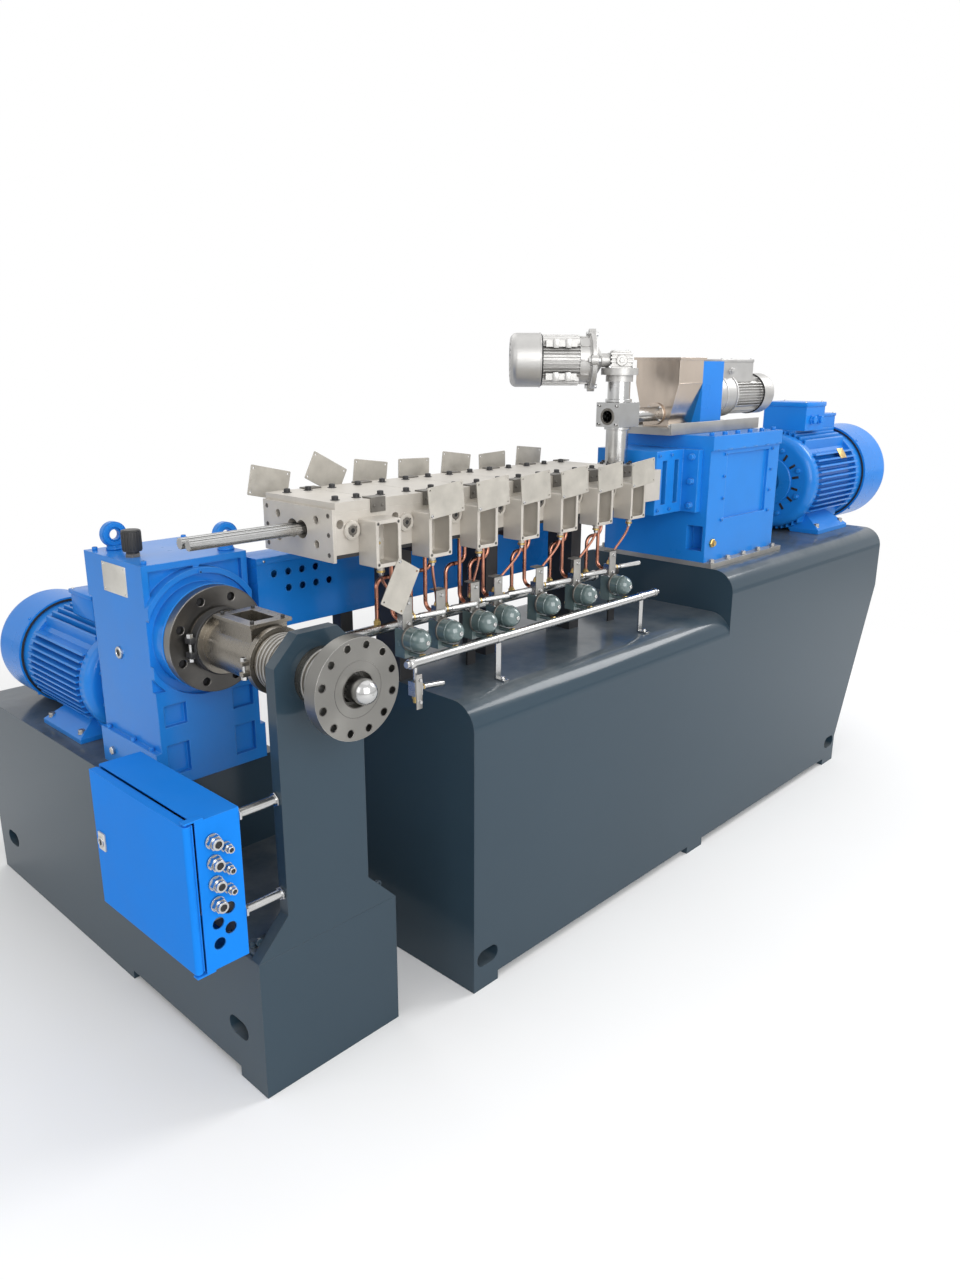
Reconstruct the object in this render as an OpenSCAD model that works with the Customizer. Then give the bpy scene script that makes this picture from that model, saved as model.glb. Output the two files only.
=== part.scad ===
// Two-stage compounding extruder. A co-rotating twin-screw stage on a long stepped base
// delivers into a single-screw stage that stands across its discharge end.
// Frame: +X runs along the twin barrel towards its drive, +Y across it to the rear, +Z up.
// The origin lies on the floor under the centre of the whole machine. All sizes are in millimetres.

/* [Twin base] */
// Width of the base
base_w = 618; // [580:2:700]
// Length of the low part that carries the barrel
low_l = 1175; // [1160:5:1250]
// Height of the low part
low_h = 780; // [740:5:820]
// Rise of the high part that carries the drive
step_h = 138; // [100:2:160]
// Length of the base behind the drive motor's feet
tail_l = 57; // [30:1:120]
// Radius of the long rounded top edges
edge_r = 70; // [40:2:90]
// How far the drive end slants in towards the floor
toe_in = 240; // [160:10:280]
// Height of the slanted part's upper edge below the top
toe_drop = 228; // [200:2:300]
// Height at which the slant of the drive end stops
toe_bottom = 100; // [80:5:160]
// Length of each foot along the base
foot_l = 90; // [70:5:120]
// Height of the recess between the feet
foot_h = 25; // [15:1:40]
// Length of the lifting slots
lift_l = 76; // [60:2:90]
// Height of the lifting slots
lift_h = 46; // [36:2:56]
// Depth of the lifting slots
lift_deep = 60; // [30:5:90]
// Distance of the lifting slots from the ends of the base
lift_in = 50; // [46:1:70]
// Height of the lifting slots above the floor
lift_z = 88; // [70:1:120]

/* [Twin barrel] */
// Height of the screw axes above the low part
axis_up = 413; // [405:1:420]
// Length of the discharge section
first_l = 119; // [110:1:140]
// Length of each heated section
section_l = 158; // [150:1:160]
// Length of the feed section
feed_l = 180; // [170:1:200]
// Width of the barrel sections
block_w = 258; // [240:2:270]
// Height of the barrel sections
block_h = 92; // [84:2:100]
// Bore of each screw channel
bore_d = 41; // [36:0.5:44]
// Distance between the two screw axes
screw_gap = 33; // [30:0.5:36]
// Thickness of the top heating plates
top_t = 22; // [16:1:28]
// Thickness of the bottom heating plates
bottom_t = 8; // [6:1:14]
// Gap between neighbouring heating plates
plate_gap = 2; // [1:0.5:4]
// Thickness of the discharge plate
end_t = 8; // [6:1:14]
// Bolt holes of the discharge plate
end_hole_d = 18; // [14:1:20]
// Spacing of those bolt holes across the plate
end_hole_y = 142; // [130:2:150]
// Spacing of those bolt holes up the plate
end_hole_z = 54; // [50:2:66]
// Depth of those bolt holes in the first section
end_hole_deep = 40; // [30:1:60]
// Width of the straps over the section joints
strap_w = 42; // [30:2:50]
// Thickness of the straps
strap_t = 3; // [2:0.5:5]
// Length of the straps down the barrel's side
strap_leg = 30; // [28:1:31]
// Diameter of the round plugs in the barrel's sides
plug_d = 42; // [34:1:46]
// Height of the round plugs
plug_t = 8; // [5:1:12]
// Diameter of the sensor holes beside the plugs
sensor_d = 20; // [14:1:24]

/* [Screw shafts] */
// Diameter over the splines
shaft_d = 24; // [20:1:28]
// Depth of the spline grooves
spline_deep = 2; // [1:0.25:3]
// Number of splines
splines = 12; // [8:1:16]
// How far the bare shafts stand out of the barrel
shaft_out = 280; // [200:10:300]
// How far the shafts reach into the gearbox
shaft_in = 60; // [40:5:90]
// Running clearance of shafts in their seats
run_gap = 0.3; // [0.2:0.05:0.6]

/* [Terminal boxes] */
// Width of a terminal box
box_w = 72; // [64:1:80]
// Height of a terminal box
box_h = 104; // [96:1:112]
// Depth of a terminal box
box_d = 60; // [50:1:72]
// Wall of a terminal box
box_t = 4; // [3:0.5:6]
// How far each box sits off its section joint
box_shift = 21; // [15:1:25]
// Drop of the box centres below the screw axes
box_drop = 23; // [18:1:28]
// Long side of a box cover
cover_l = 112; // [106:1:118]
// Short side of a box cover
cover_w = 72; // [66:1:78]
// Thickness of a box cover
cover_t = 2.5; // [2:0.5:4]
// Inset of the screw holes from the cover's edges
cover_in = 7; // [6:0.5:9]
// Tilt of the covers that are swung up
cover_tilt = 5; // [2:1:8]
// How much nearer to the drive the rear boxes sit
rear_on = 25; // [10:1:30]
// How much higher the rear boxes sit
rear_up = 18; // [10:1:18]

/* [Cooling line] */
// Diameter of the front rail
rail_d = 22; // [18:1:26]
// Distance of the rail's end behind the barrel's end
rail_from = 139; // [120:1:160]
// Distance of the rail's other end from the gearbox
rail_to = 288; // [260:1:300]
// Height of the front rail above the low part
rail_up = 108; // [96:2:112]
// Distance of the front rail from the front of the base
rail_in = 100; // [94:1:108]
// How far the rear header reaches past the front rail
header_on = 120; // [100:1:140]
// Diameter of the rear header pipe
header_d = 26; // [20:1:30]
// Diameter of the copper pipes
pipe_d = 10; // [8:0.5:12]
// Bend radius of the copper pipes
bend_r = 22; // [18:1:28]
// Diameter of the solenoid coils
coil_d = 56; // [48:1:60]
// Length of the solenoid coils
coil_l = 34; // [28:1:40]
// Side of the square valve bodies
valve_w = 34; // [28:1:38]
// Height of the valve bodies
valve_h = 70; // [64:1:76]
// Diameter of the valve handles
handle_d = 11; // [8:0.5:14]
// Length of the valve handles
handle_l = 100; // [90:1:110]

/* [Wiring duct] */
// Distance of the duct's end behind the barrel's end
duct_from = 17; // [16:1:40]
// Distance of the duct's other end from the gearbox
duct_to = 190; // [150:5:240]
// Depth of the duct
duct_d = 90; // [70:2:110]
// Height of the duct
duct_h = 180; // [150:5:200]
// Height of the duct's underside above the low part
duct_up = 130; // [100:5:160]
// Sheet thickness of the duct
duct_t = 3; // [2:0.5:5]
// Gap between the duct and the swung covers
duct_gap = 8; // [6:1:20]
// Diameter of the cable holes in the duct
cable_hole_d = 18; // [14:1:22]
// Pitch of the cable holes
cable_pitch = 42; // [36:1:50]

/* [Twin drive] */
// Length of the gearbox
gear_l = 450; // [420:5:480]
// Width of the gearbox
gear_w = 410; // [390:5:440]
// Height of the gearbox
gear_h = 400; // [390:2:410]
// Height of the gearbox's cover
rim_h = 46; // [36:1:56]
// How far the cover stands out over the sides
rim_out = 8; // [4:1:12]
// Thickness of the plate under the gearbox
sole_t = 15; // [10:1:20]
// How far that plate stands out
sole_out = 20; // [10:1:30]
// Length of the lantern between barrel and gearbox
lantern_l = 172; // [160:1:190]
// Width of the lantern
lantern_w = 224; // [210:2:236]
// Height of the lantern
lantern_h = 196; // [180:2:210]
// Wall of the lantern
lantern_t = 18; // [14:1:22]
// Width of the lantern's flange on the gearbox
adapter_w = 338; // [300:2:360]
// Thickness of that flange
adapter_t = 24; // [16:1:30]
// Clear length between gearbox and drive motor
couple_l = 331; // [300:1:360]
// Diameter of the coupling hubs
hub_d = 150; // [120:5:170]
// Height of the motor shaft above its feet
motor_h = 195; // [190:1:205]
// Diameter over the cooling fins of the drive motor
motor_d = 380; // [360:5:388]
// Length of the finned frame of the drive motor
motor_l = 440; // [400:5:460]
// Diameter of the fan cowl of the drive motor
cowl_d = 388; // [370:2:390]
// Length of the fan cowl of the drive motor
cowl_l = 232; // [200:2:250]

/* [Feeder] */
// Thickness of the feeder's base frame
shelf_t = 22; // [16:1:30]
// Length of the feeder's base frame
shelf_l = 555; // [520:5:580]
// Width of the feeder's base frame
shelf_w = 180; // [160:5:220]
// How far the base frame reaches past the gearbox
shelf_out = 75; // [60:1:90]
// How far the hopper reaches past the gearbox
hopper_out = 23; // [10:1:40]
// Width of the hopper's mouth along the machine
hopper_l = 138; // [120:2:160]
// Width of the hopper's mouth across the machine
hopper_w = 162; // [150:2:180]
// Height of the upright part of the hopper
hopper_band = 79; // [60:1:90]
// Height of the whole hopper
hopper_h = 213; // [200:1:220]
// Width of the hopper's lower end
hopper_foot = 90; // [80:2:100]
// Sheet thickness of the hopper
hopper_t = 4; // [3:0.5:6]
// Depth of the hopper's solid trough
trough_h = 30; // [20:1:36]
// How far the rim stands out
rim_w = 7; // [4:1:10]
// Diameter of the feeder tube
tube_d = 45; // [40:1:50]
// Wall of the feeder tube
tube_t = 4; // [3:0.5:6]
// Height of the feeder tube above the gearbox
tube_up = 62; // [58:1:70]
// Thickness of the upright drive plate
drive_t = 127; // [110:1:140]
// Height of the upright drive plate
drive_h = 202; // [190:1:212]
// Diameter of the feeder's gear motor
feed_motor_d = 140; // [130:2:150]
// Length of the feeder's gear motor
feed_motor_l = 398; // [360:2:420]
// Height of the feeder's gear motor above the gearbox
feed_motor_up = 114; // [104:1:120]

/* [Stuffer] */
// Distance of the stuffer from the lantern
stuff_in = 56; // [50:1:70]
// Diameter of the upright stuffer pipe
stuff_d = 68; // [60:1:72]
// Wall of the stuffer pipe
stuff_t = 10; // [6:1:12]
// Length of the inlet block along the machine
stuff_block = 106; // [96:1:112]
// Width of the inlet block across the machine
stuff_block_w = 84; // [80:1:100]
// Height of the inlet block
stuff_block_h = 72; // [66:1:84]
// Height of the worm gearbox's axis above the feeder tube
worm_up = 163; // [150:1:170]
// Width of the worm gearbox
worm_w = 66; // [60:1:80]
// Height of the worm gearbox's ribbed part
worm_h = 44; // [40:1:60]
// Diameter of the worm gearbox's foot flange
worm_flange_d = 112; // [100:1:120]
// Diameter of the stuffer motor's cowl
stuff_motor_d = 156; // [140:2:160]
// Length of the stuffer motor
stuff_motor_l = 255; // [230:5:280]
// Angle of the stuffer's motor from straight back towards the discharge end
stuff_turn = 45; // [0:5:90]

/* [Second base] */
// Distance of the second screw from the twin barrel's end
second_gap = 130; // [126:1:150]
// Distance of the second base's front from the twin barrel's centre line
second_set = 236; // [220:1:250]
// Width of the second base
low2_w = 380; // [370:2:390]
// Length of the second base
base2_l = 1460; // [1420:10:1520]
// Height of the front part
low2_h = 337; // [320:1:350]
// Length of the front part
low2_l = 460; // [450:2:470]
// Rise of the rear block
step2_h = 238; // [220:1:260]
// Distance of its lifting slots from the ends
lift2_in = 100; // [80:1:120]
// Height of its lifting slots above the floor
lift2_z = 130; // [110:1:150]
// Length of the front foot
foot2_front = 104; // [90:1:140]
// Length of the rear foot
foot2_rear = 850; // [800:5:900]
// Thickness of the column plate
col_t = 30; // [24:1:36]
// Width of the column plate
col_w = 220; // [210:2:230]
// Height of the shoulders above the front part
col_shoulder = 83; // [70:1:90]
// Height of the column's top above the screw axis
col_over = 98; // [94:1:110]
// Chamfer of the column's top corners
col_chamfer = 60; // [40:2:70]

/* [Second stage] */
// Height of the single screw's axis above the rear block
axis2_up = 357; // [350:1:365]
// Outside diameter of the barrel
barrel2_d = 124; // [116:1:130]
// Bore of the barrel
bore2_d = 64; // [60:0.5:68]
// Depth of the cooling grooves
groove_deep = 6; // [4:0.5:8]
// Width of a cooling groove
groove_w = 6; // [5:0.5:8]
// Outside diameter of the front flange
flange_d = 212; // [208:1:220]
// Thickness of the front flange
flange_t = 34; // [28:1:40]
// Bolt circle of the front flange
flange_pcd = 181; // [178:1:184]
// Bolt holes of the front flange
flange_hole_d = 16; // [12:1:17]
// Bore of the front flange
flange_bore = 74; // [70:1:80]
// Depth of that bore
flange_deep = 24; // [18:1:27]
// Distance of the front flange's face before the base's front
flange_out = 125; // [120:1:135]
// Outside diameter of the rear flange
rear_d = 250; // [240:2:258]
// Thickness of the rear flange
rear_t = 26; // [20:1:32]
// Bolt circle of the rear flange
rear_pcd = 206; // [196:2:212]
// Bolt holes of the rear flange
rear_hole_d = 20; // [16:1:22]
// Width of the collar behind the barrel
collar_l = 36; // [30:1:44]
// Height of the collar and of the clamp ring over the barrel
collar_out = 13; // [8:1:16]
// How far the screw's tip stands out of the flange
tip_out = 45; // [36:1:56]
// Diameter of the screw's tip
tip_d = 54; // [48:1:58]
// Lead of the screw's flight
lead = 60; // [50:2:70]
// Length of the feed opening in the barrel
throat_l = 90; // [70:2:100]
// Width of the feed opening in the barrel
throat_w = 56; // [44:2:58]
// Wall of the feed opening
throat_t = 18; // [12:1:24]
// Height of the feed opening over the barrel
throat_h = 22; // [14:1:30]

/* [Second drive] */
// Width of the second gearbox
gear2_w = 272; // [270:2:290]
// Length of the second gearbox
gear2_l = 266; // [250:2:280]
// Height of the second gearbox above its axis
gear2_over = 180; // [170:2:190]
// Height of the gearbox's lower half
gear2_low = 240; // [220:2:260]
// How far the lower half stands out in front
gear2_proud = 14; // [8:1:18]
// How far the upper half stands out behind
gear2_back = 18; // [10:1:24]
// Height of the gearbox's foot
gear2_foot = 92; // [80:1:110]
// How far the foot stands out at the sides
gear2_foot_out = 14; // [8:1:18]
// Depth of the casting pockets
pocket = 14; // [8:1:18]
// Width of the walls round the casting pockets
web = 16; // [10:1:22]
// Width of the arched rib round the nose
arch_w = 14; // [10:1:20]
// Width of the groove inside the arched rib
arch_gap = 21; // [16:1:26]
// Length of the round nose in front of the gearbox
nose_l = 50; // [40:1:60]
// Height of the second motor's shaft above its feet
motor2_h = 160; // [154:1:168]
// Diameter over the fins of the second motor
motor2_d = 310; // [290:2:314]
// Length of the second motor's finned frame
motor2_l = 400; // [360:5:420]
// Diameter of the second motor's fan cowl
cowl2_d = 318; // [300:2:320]
// Length of the second motor's fan cowl
cowl2_l = 170; // [150:5:180]
// Length of the bell between gearbox and motor
bell_l = 70; // [50:2:80]
// Depth of the screw's shank in the gearbox
shank_in = 100; // [60:5:140]
// Outside diameter of the lifting eyes
eye_d = 62; // [56:1:70]
// Hole of the lifting eyes
eye_hole_d = 34; // [28:1:38]
// Thickness of the lifting eyes
eye_t = 16; // [12:1:20]
// Height of the lifting eyes' base
eye_base = 10; // [8:1:14]

/* [Junction box] */
// Height of the junction box
cab_h = 335; // [320:1:350]
// Width of the junction box
cab_w = 400; // [380:2:420]
// Depth of the box behind its door
cab_d = 97; // [85:1:110]
// Wall of the junction box
cab_t = 3; // [2.5:0.5:5]
// Thickness of the door
door_t = 18; // [16:1:24]
// Seam between door and box
door_gap = 5; // [5:0.5:8]
// Height of the box's underside
cab_z = 370; // [355:1:380]
// Length of the rods that carry the box
rod_l = 94; // [86:1:110]
// Diameter of the rods
rod_d = 20; // [16:1:24]
// Diameter of the door's pivot pins
pin_d = 6; // [5:0.5:8]
// Large cable entries
entry_d = 26; // [22:1:28]
// Small cable entries
entry_small_d = 16; // [14:1:18]
// Pitch of the cable entries
entry_pitch = 46; // [42:1:48]

/* [Hidden] */
$fn = 64;
slate = [0.22, 0.27, 0.31];
blue = [0.10, 0.42, 0.85];
nickel = [0.78, 0.76, 0.71];
copper = [0.72, 0.40, 0.28];
dark = [0.16, 0.16, 0.17];
silver = [0.75, 0.76, 0.77];
enamel = [0.35, 0.42, 0.42];
over = 1;
heated = 6;

// Twin stage
mid_y = base_w / 2;
axis_z = low_h + axis_up;
high_h = low_h + step_h;
gear_x0 = low_l;
barrel_x1 = gear_x0 - lantern_l;
block_x0 = barrel_x1 - feed_l - heated * section_l - first_l;
barrel_x0 = block_x0 - end_t;
section_ends = [for (i = [0 : heated]) block_x0 + first_l + i * section_l];
block_z0 = axis_z - block_h / 2;
block_top = block_z0 + block_h;
barrel_top = block_top + top_t;
barrel_bottom = block_z0 - bottom_t;
side_y = mid_y - block_w / 2;
box_x = [for (i = [0 : heated]) section_ends[i] - box_shift];
box_z0 = axis_z - box_drop - box_h / 2;
boxes_y = side_y - box_d;
sole_z = high_h + sole_t;
gear_top = sole_z + gear_h;
motor_x0 = gear_x0 + gear_l + couple_l;
motor_z = high_h + motor_h;
motor_foot = [0.165, 0.745];
base_l = motor_x0 + motor_foot[1] * motor_l + tail_l;
cowl_end = motor_x0 + motor_l + cowl_l;
motor_box_x = 0.19 * motor_l;
motor_box_l = [0.36 * motor_l, 0.42 * motor_l];
motor_box_w = [0.46 * motor_d, 0.26 * motor_d];
motor_box_h = [0.27 * motor_d, 0.14 * motor_d];
feeder_z = gear_top + shelf_t;
tube_z = gear_top + tube_up;
hopper_x0 = gear_x0 - hopper_out;
drive_x0 = hopper_x0 + hopper_l;
stuff_x = barrel_x1 - stuff_in;
inlet_z0 = tube_z - 0.43 * stuff_block_h;
worm_z = tube_z + worm_up;
worm_foot = 0.3 * worm_w;
worm_z0 = worm_z - worm_h / 2 - 2 * worm_foot;
rail_x0 = barrel_x0 + rail_from;
rail_l = low_l - rail_to - rail_x0;
rail_z = low_h + rail_up;
bracket_x = [for (r = [0.16, 0.69]) r * low_l];
header_y = mid_y - 0.27 * block_w;
header_z = rail_z + 0.46 * rail_up;
header_x0 = rail_x0 - header_on;
valve_y = rail_in + rail_d / 2 + 1.5 * coil_l;
valve_z = rail_z - 0.14 * valve_h;
coil_z = rail_z + 0.54 * valve_h;
stub_d = 10;
ball_w = 0.7 * valve_w;
ball_h = 0.5 * valve_h;
ball_y = valve_y + valve_w / 2;
ball_z = valve_z + valve_h;
return_x = valve_w;
station_on = [73, 24, -15, -87, -81, -77, -68];
station = [for (i = [0 : heated]) section_ends[i] + station_on[i]];
duct_x0 = barrel_x0 + duct_from;
duct_l = low_l - duct_to - duct_x0;
duct_y = base_w - boxes_y + cover_t + duct_gap;
duct_z = low_h + duct_up;

// Second stage
axis2_x = barrel_x0 - second_gap;
front2_y = mid_y - second_set;
high2_h = low2_h + step2_h;
axis2_z = high2_h + axis2_up;
flange_y = front2_y - flange_out;
gear2_y0 = front2_y + low2_l;
rear_y = gear2_y0 - nose_l - rear_t;
gear2_y1 = gear2_y0 + gear2_l;
gear2_top = axis2_z + gear2_over;
motor2_y0 = gear2_y1 + bell_l;
motor2_z = high2_h + motor2_h;
base2_x0 = axis2_x - low2_w / 2;
throat_y = mid_y;
eye_at = [[-0.29 * gear2_w, 0.90 * gear2_l], [0.40 * gear2_w, 0.17 * gear2_l]];
col_x0 = axis2_x - col_w / 2;
cab_x1 = col_x0 - rod_l;
cab_x0 = cab_x1 - cab_d;
door_x1 = cab_x0 - door_gap;
door_x0 = door_x1 - door_t;
rod_at_y = front2_y + col_t - rod_d / 2;
cab_y0 = rod_at_y - rod_d / 2;
lock_d = 24;
lock_out = 6;
hinge_x = (door_x0 + door_x1) / 2;
hinge_y = cab_y0 + door_t / 2;

// Middle of the whole machine
origin_x = (door_x0 - lock_out + cowl_end) / 2;
origin_y = (flange_y - tip_out + front2_y + base2_l) / 2;

// Helpers

module place() {
    translate([-origin_x, -origin_y, 0]) children();
}

// Rectangle with rounded corners
module rounded_square(size, r) {
    translate([r, 0]) square([size.x - 2 * r, size.y]);
    translate([0, r]) square([size.x, size.y - 2 * r]);
    for (x = [r, size.x - r], y = [r, size.y - r]) translate([x, y]) circle(r);
}

// Extrudes a profile drawn in Y and Z along +X
module along_x(l) {
    rotate([90, 0, 90]) linear_extrude(l) children();
}

// Extrudes a profile drawn in X and Z along +Y
module along_y(l) {
    translate([0, l, 0]) rotate([90, 0, 0]) linear_extrude(l) children();
}

module rod_x(d, l) {
    rotate([0, 90, 0]) cylinder(d = d, h = l);
}

module rod_y(d, l) {
    rotate([-90, 0, 0]) cylinder(d = d, h = l);
}

// Round drum along +X with a rounded far edge
module drum(d, l, edge) {
    rotate([0, 90, 0]) rotate_extrude() {
        square([d / 2, l - edge]);
        square([d / 2 - edge, l]);
        translate([d / 2 - edge, l - edge]) circle(edge);
    }
}

// Half ball that bulges towards -Y
module dome_y(d) {
    rotate([90, 0, 0]) rotate_extrude() intersection() {
        circle(d = d);
        square(d);
    }
}

// Twin base

module base_profile(h) {
    square([base_w, h - edge_r]);
    translate([edge_r, 0]) square([base_w - 2 * edge_r, h]);
    for (y = [edge_r, base_w - edge_r]) translate([y, h - edge_r]) circle(edge_r);
}

module lift_slot(l, h, deep) {
    rotate([-90, 0, 0]) linear_extrude(deep) {
        square([l - h, h], center = true);
        for (x = [-1, 1]) translate([x * (l - h) / 2, 0]) circle(d = h);
    }
}

module twin_base() {
    toe_x = base_l - toe_in;
    toe_top = high_h - toe_drop;
    recess_l = (toe_x - 3 * foot_l) / 2;
    color(slate) place() difference() {
        union() {
            along_x(low_l) base_profile(low_h);
            translate([low_l, 0, 0]) along_x(base_l - low_l) base_profile(high_h);
        }
        translate([0, -over, 0]) along_y(base_w + 2 * over) polygon([
            [base_l + over, -over], [toe_x, -over], [toe_x, toe_bottom], [base_l, toe_top],
            [base_l + over, toe_top]
        ]);
        for (i = [0, 1]) translate([foot_l + i * (recess_l + foot_l), -over, -over])
            cube([recess_l, base_w + 2 * over, foot_h + over]);
        for (x = [lift_in, toe_x - lift_in], y = [-over, base_w - lift_deep])
            translate([x, y, lift_z]) lift_slot(lift_l, lift_h, lift_deep + over);
    }
}

// Twin barrel

module twin_bores(x0, l) {
    for (y = [-1, 1]) translate([x0, mid_y + y * screw_gap / 2, axis_z]) rod_x(bore_d, l);
}

module end_bolt_holes(x0, l) {
    for (y = [-1, 1], z = [-1, 1])
        translate([x0, mid_y + y * end_hole_y / 2, axis_z + z * end_hole_z / 2])
            rod_x(end_hole_d, l);
}

// Heated sections have a round plug and a sensor hole on both sides, beside the terminal box
module barrel_section(i) {
    x0 = i == 0 ? block_x0 : section_ends[i - 1];
    x1 = i > heated ? barrel_x1 : section_ends[i];
    plug_x = box_x[min(i, heated)] - box_w / 2 - plug_d / 2 - over;
    plug_z = axis_z + 0.14 * plug_d;
    sensor_deep = 1.2 * sensor_d;
    color(nickel) place() difference() {
        union() {
            translate([x0, side_y, block_z0]) cube([x1 - x0, block_w, block_h]);
            if (i <= heated)
                translate([plug_x, side_y - plug_t, plug_z]) rod_y(plug_d, block_w + 2 * plug_t);
        }
        twin_bores(x0 - over, x1 - x0 + 2 * over);
        if (i == 0) end_bolt_holes(x0 - over, end_hole_deep + over);
        if (i <= heated) for (y = [side_y - over, side_y + block_w - sensor_deep])
            translate([plug_x - 0.66 * plug_d, y, plug_z + 0.36 * plug_d])
                rod_y(sensor_d, sensor_deep + over);
        if (i > heated)
            translate([stuff_x, mid_y, axis_z]) cylinder(d = stuff_d - 2 * stuff_t, h = block_h);
    }
}

module discharge_plate() {
    color(nickel) place() difference() {
        translate([barrel_x0, side_y, barrel_bottom - end_t])
            cube([end_t, block_w, block_h + bottom_t + 2 * end_t]);
        twin_bores(barrel_x0 - over, end_t + 2 * over);
        end_bolt_holes(barrel_x0 - over, end_t + 2 * over);
    }
}

module heating_plates(z0, t) {
    for (i = [0 : heated]) {
        x0 = i == 0 ? block_x0 : section_ends[i - 1] + plate_gap / 2;
        x1 = section_ends[i] - plate_gap / 2;
        translate([x0, side_y, z0]) cube([x1 - x0, block_w, t]);
    }
}

module top_heating_plates() {
    color(nickel) place() heating_plates(block_top, top_t);
}

module bottom_heating_plates() {
    color(dark) place() heating_plates(barrel_bottom, bottom_t);
}

// Angle straps that bridge the plate joints on both upper edges, shorter over the rear boxes
module joint_straps() {
    color(dark) place() for (x = section_ends, s = [0, 1]) {
        leg = strap_leg - s * rear_up;
        translate([x - strap_w / 2, s * base_w, 0]) mirror([0, s, 0]) {
            translate([0, side_y - strap_t, barrel_top - leg]) cube([strap_w, strap_t, leg + strap_t]);
            translate([0, side_y - strap_t, barrel_top]) cube([strap_w, strap_leg, strap_t]);
        }
    }
}

// Pedestals under the barrel's centre line, each with a cross plate on top
module barrel_supports() {
    post_x = 44;
    post_y = 90;
    plate_t = 20;
    color(dark) place() for (r = [0.004, 0.27, 0.58]) translate([r * low_l, 0, 0]) {
        translate([0, mid_y - post_y / 2, low_h])
            cube([post_x, post_y, barrel_bottom - low_h - plate_t]);
        translate([0, side_y, barrel_bottom - plate_t]) cube([post_x, block_w, plate_t]);
    }
}

// Screw shafts

module screw_shaft(s) {
    l = shaft_out + gear_x0 - barrel_x0;
    root = shaft_d - 2 * spline_deep;
    spline_w = PI * root / splines / 2;
    color(silver) place() translate([barrel_x0 - shaft_out, mid_y + s * screw_gap / 2, axis_z]) {
        along_x(l) {
            circle(d = root);
            for (i = [0 : splines - 1]) rotate(i * 360 / splines)
                translate([0, -spline_w / 2]) square([shaft_d / 2, spline_w]);
        }
        translate([l, 0, 0]) rod_x(shaft_d, shaft_in);
    }
}

module screw_shaft_front() {
    screw_shaft(-1);
}

module screw_shaft_rear() {
    screw_shaft(1);
}

// Terminal boxes

// Box open in front inside a lip, with a cable gland below
module terminal_box() {
    lip = 2 * box_t;
    corner_r = 3;
    inner_r = 8;
    gland_d = 16;
    gland_h = 18;
    gland_bore = 10;
    difference() {
        translate([-box_w / 2, 0, 0]) along_y(box_d)
            rounded_square([box_w, box_h], corner_r);
        translate([box_t - box_w / 2, box_t, box_t]) along_y(box_d - 2 * box_t)
            rounded_square([box_w - 2 * box_t, box_h - 2 * box_t], inner_r);
        translate([lip - box_w / 2, -over, lip]) along_y(2 * box_t)
            rounded_square([box_w - 2 * lip, box_h - 2 * lip], inner_r);
        translate([0, box_d / 2, -over]) cylinder(d = gland_bore, h = box_t + 2 * over);
    }
    translate([0, box_d / 2, -gland_h]) difference() {
        cylinder(d = gland_d, h = gland_h);
        translate([0, 0, -over]) cylinder(d = gland_bore, h = gland_h + 2 * over);
    }
}

module front_terminal_boxes() {
    color(nickel) place() for (x = box_x) translate([x, boxes_y, box_z0]) terminal_box();
}

module rear_terminal_boxes() {
    color(nickel) place() for (x = box_x)
        translate([x + rear_on, base_w - boxes_y, box_z0 + rear_up]) mirror([0, 1, 0]) terminal_box();
}

// Cover drawn about its pivot hole, with its long side along X
module box_cover() {
    hole_d = 5;
    corner_r = 3;
    along_y(cover_t) translate([-cover_in, -cover_in]) difference() {
        rounded_square([cover_l, cover_w], corner_r);
        for (x = [cover_in, cover_l - cover_in], z = [cover_in, cover_w - cover_in])
            translate([x, z]) circle(d = hole_d);
    }
}

// The first cover hangs from the lower corner of its box and the others are swung up
module front_box_covers() {
    y = boxes_y - cover_t;
    hang = 120;
    color(nickel) place() {
        translate([box_x[0] + box_w / 2 - cover_in, y, box_z0 + cover_in])
            rotate([0, hang, 0]) box_cover();
        for (i = [1 : heated])
            translate([box_x[i] - box_w / 2 + cover_in, y, box_z0 + box_h - cover_in])
                rotate([0, -cover_tilt, 0]) box_cover();
    }
}

// The rear covers hang from their right lower holes and lean to the left
module rear_box_covers() {
    lean = [13, 28, 8, 2, 8, -2, 6];
    hole_x = rear_on - box_w / 2 + cover_in;
    hole_z = box_z0 + rear_up + box_h - cover_in;
    color(nickel) place() for (i = [0 : heated])
        translate([box_x[i] + hole_x, base_w - boxes_y, hole_z])
            rotate([0, lean[i], 0]) translate([2 * cover_in - cover_l, 0, 0]) box_cover();
}

// Cooling line

module cooling_rail() {
    color(silver) place() translate([rail_x0, rail_in, rail_z]) rod_x(rail_d, rail_l);
}

// Flat strips bent out at the foot that stand on the base and carry the rail
module rail_brackets() {
    w = 18;
    t = 5;
    foot = 30;
    color(silver) place() for (x = bracket_x) translate([x - w / 2, rail_in, low_h]) {
        translate([0, -foot, 0]) cube([w, foot, t]);
        translate([0, -t / 2, 0]) cube([w, t, rail_up - rail_d / 2 - run_gap]);
    }
}

module rear_header() {
    color(silver) place() translate([header_x0, header_y, header_z]) rod_x(header_d, rail_l);
}

module header_brackets() {
    w = 30;
    t = 6;
    color(dark) place() for (x = bracket_x) translate([x + w, header_y - t / 2, low_h])
        cube([w, t, header_z - header_d / 2 - run_gap - low_h]);
}

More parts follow.
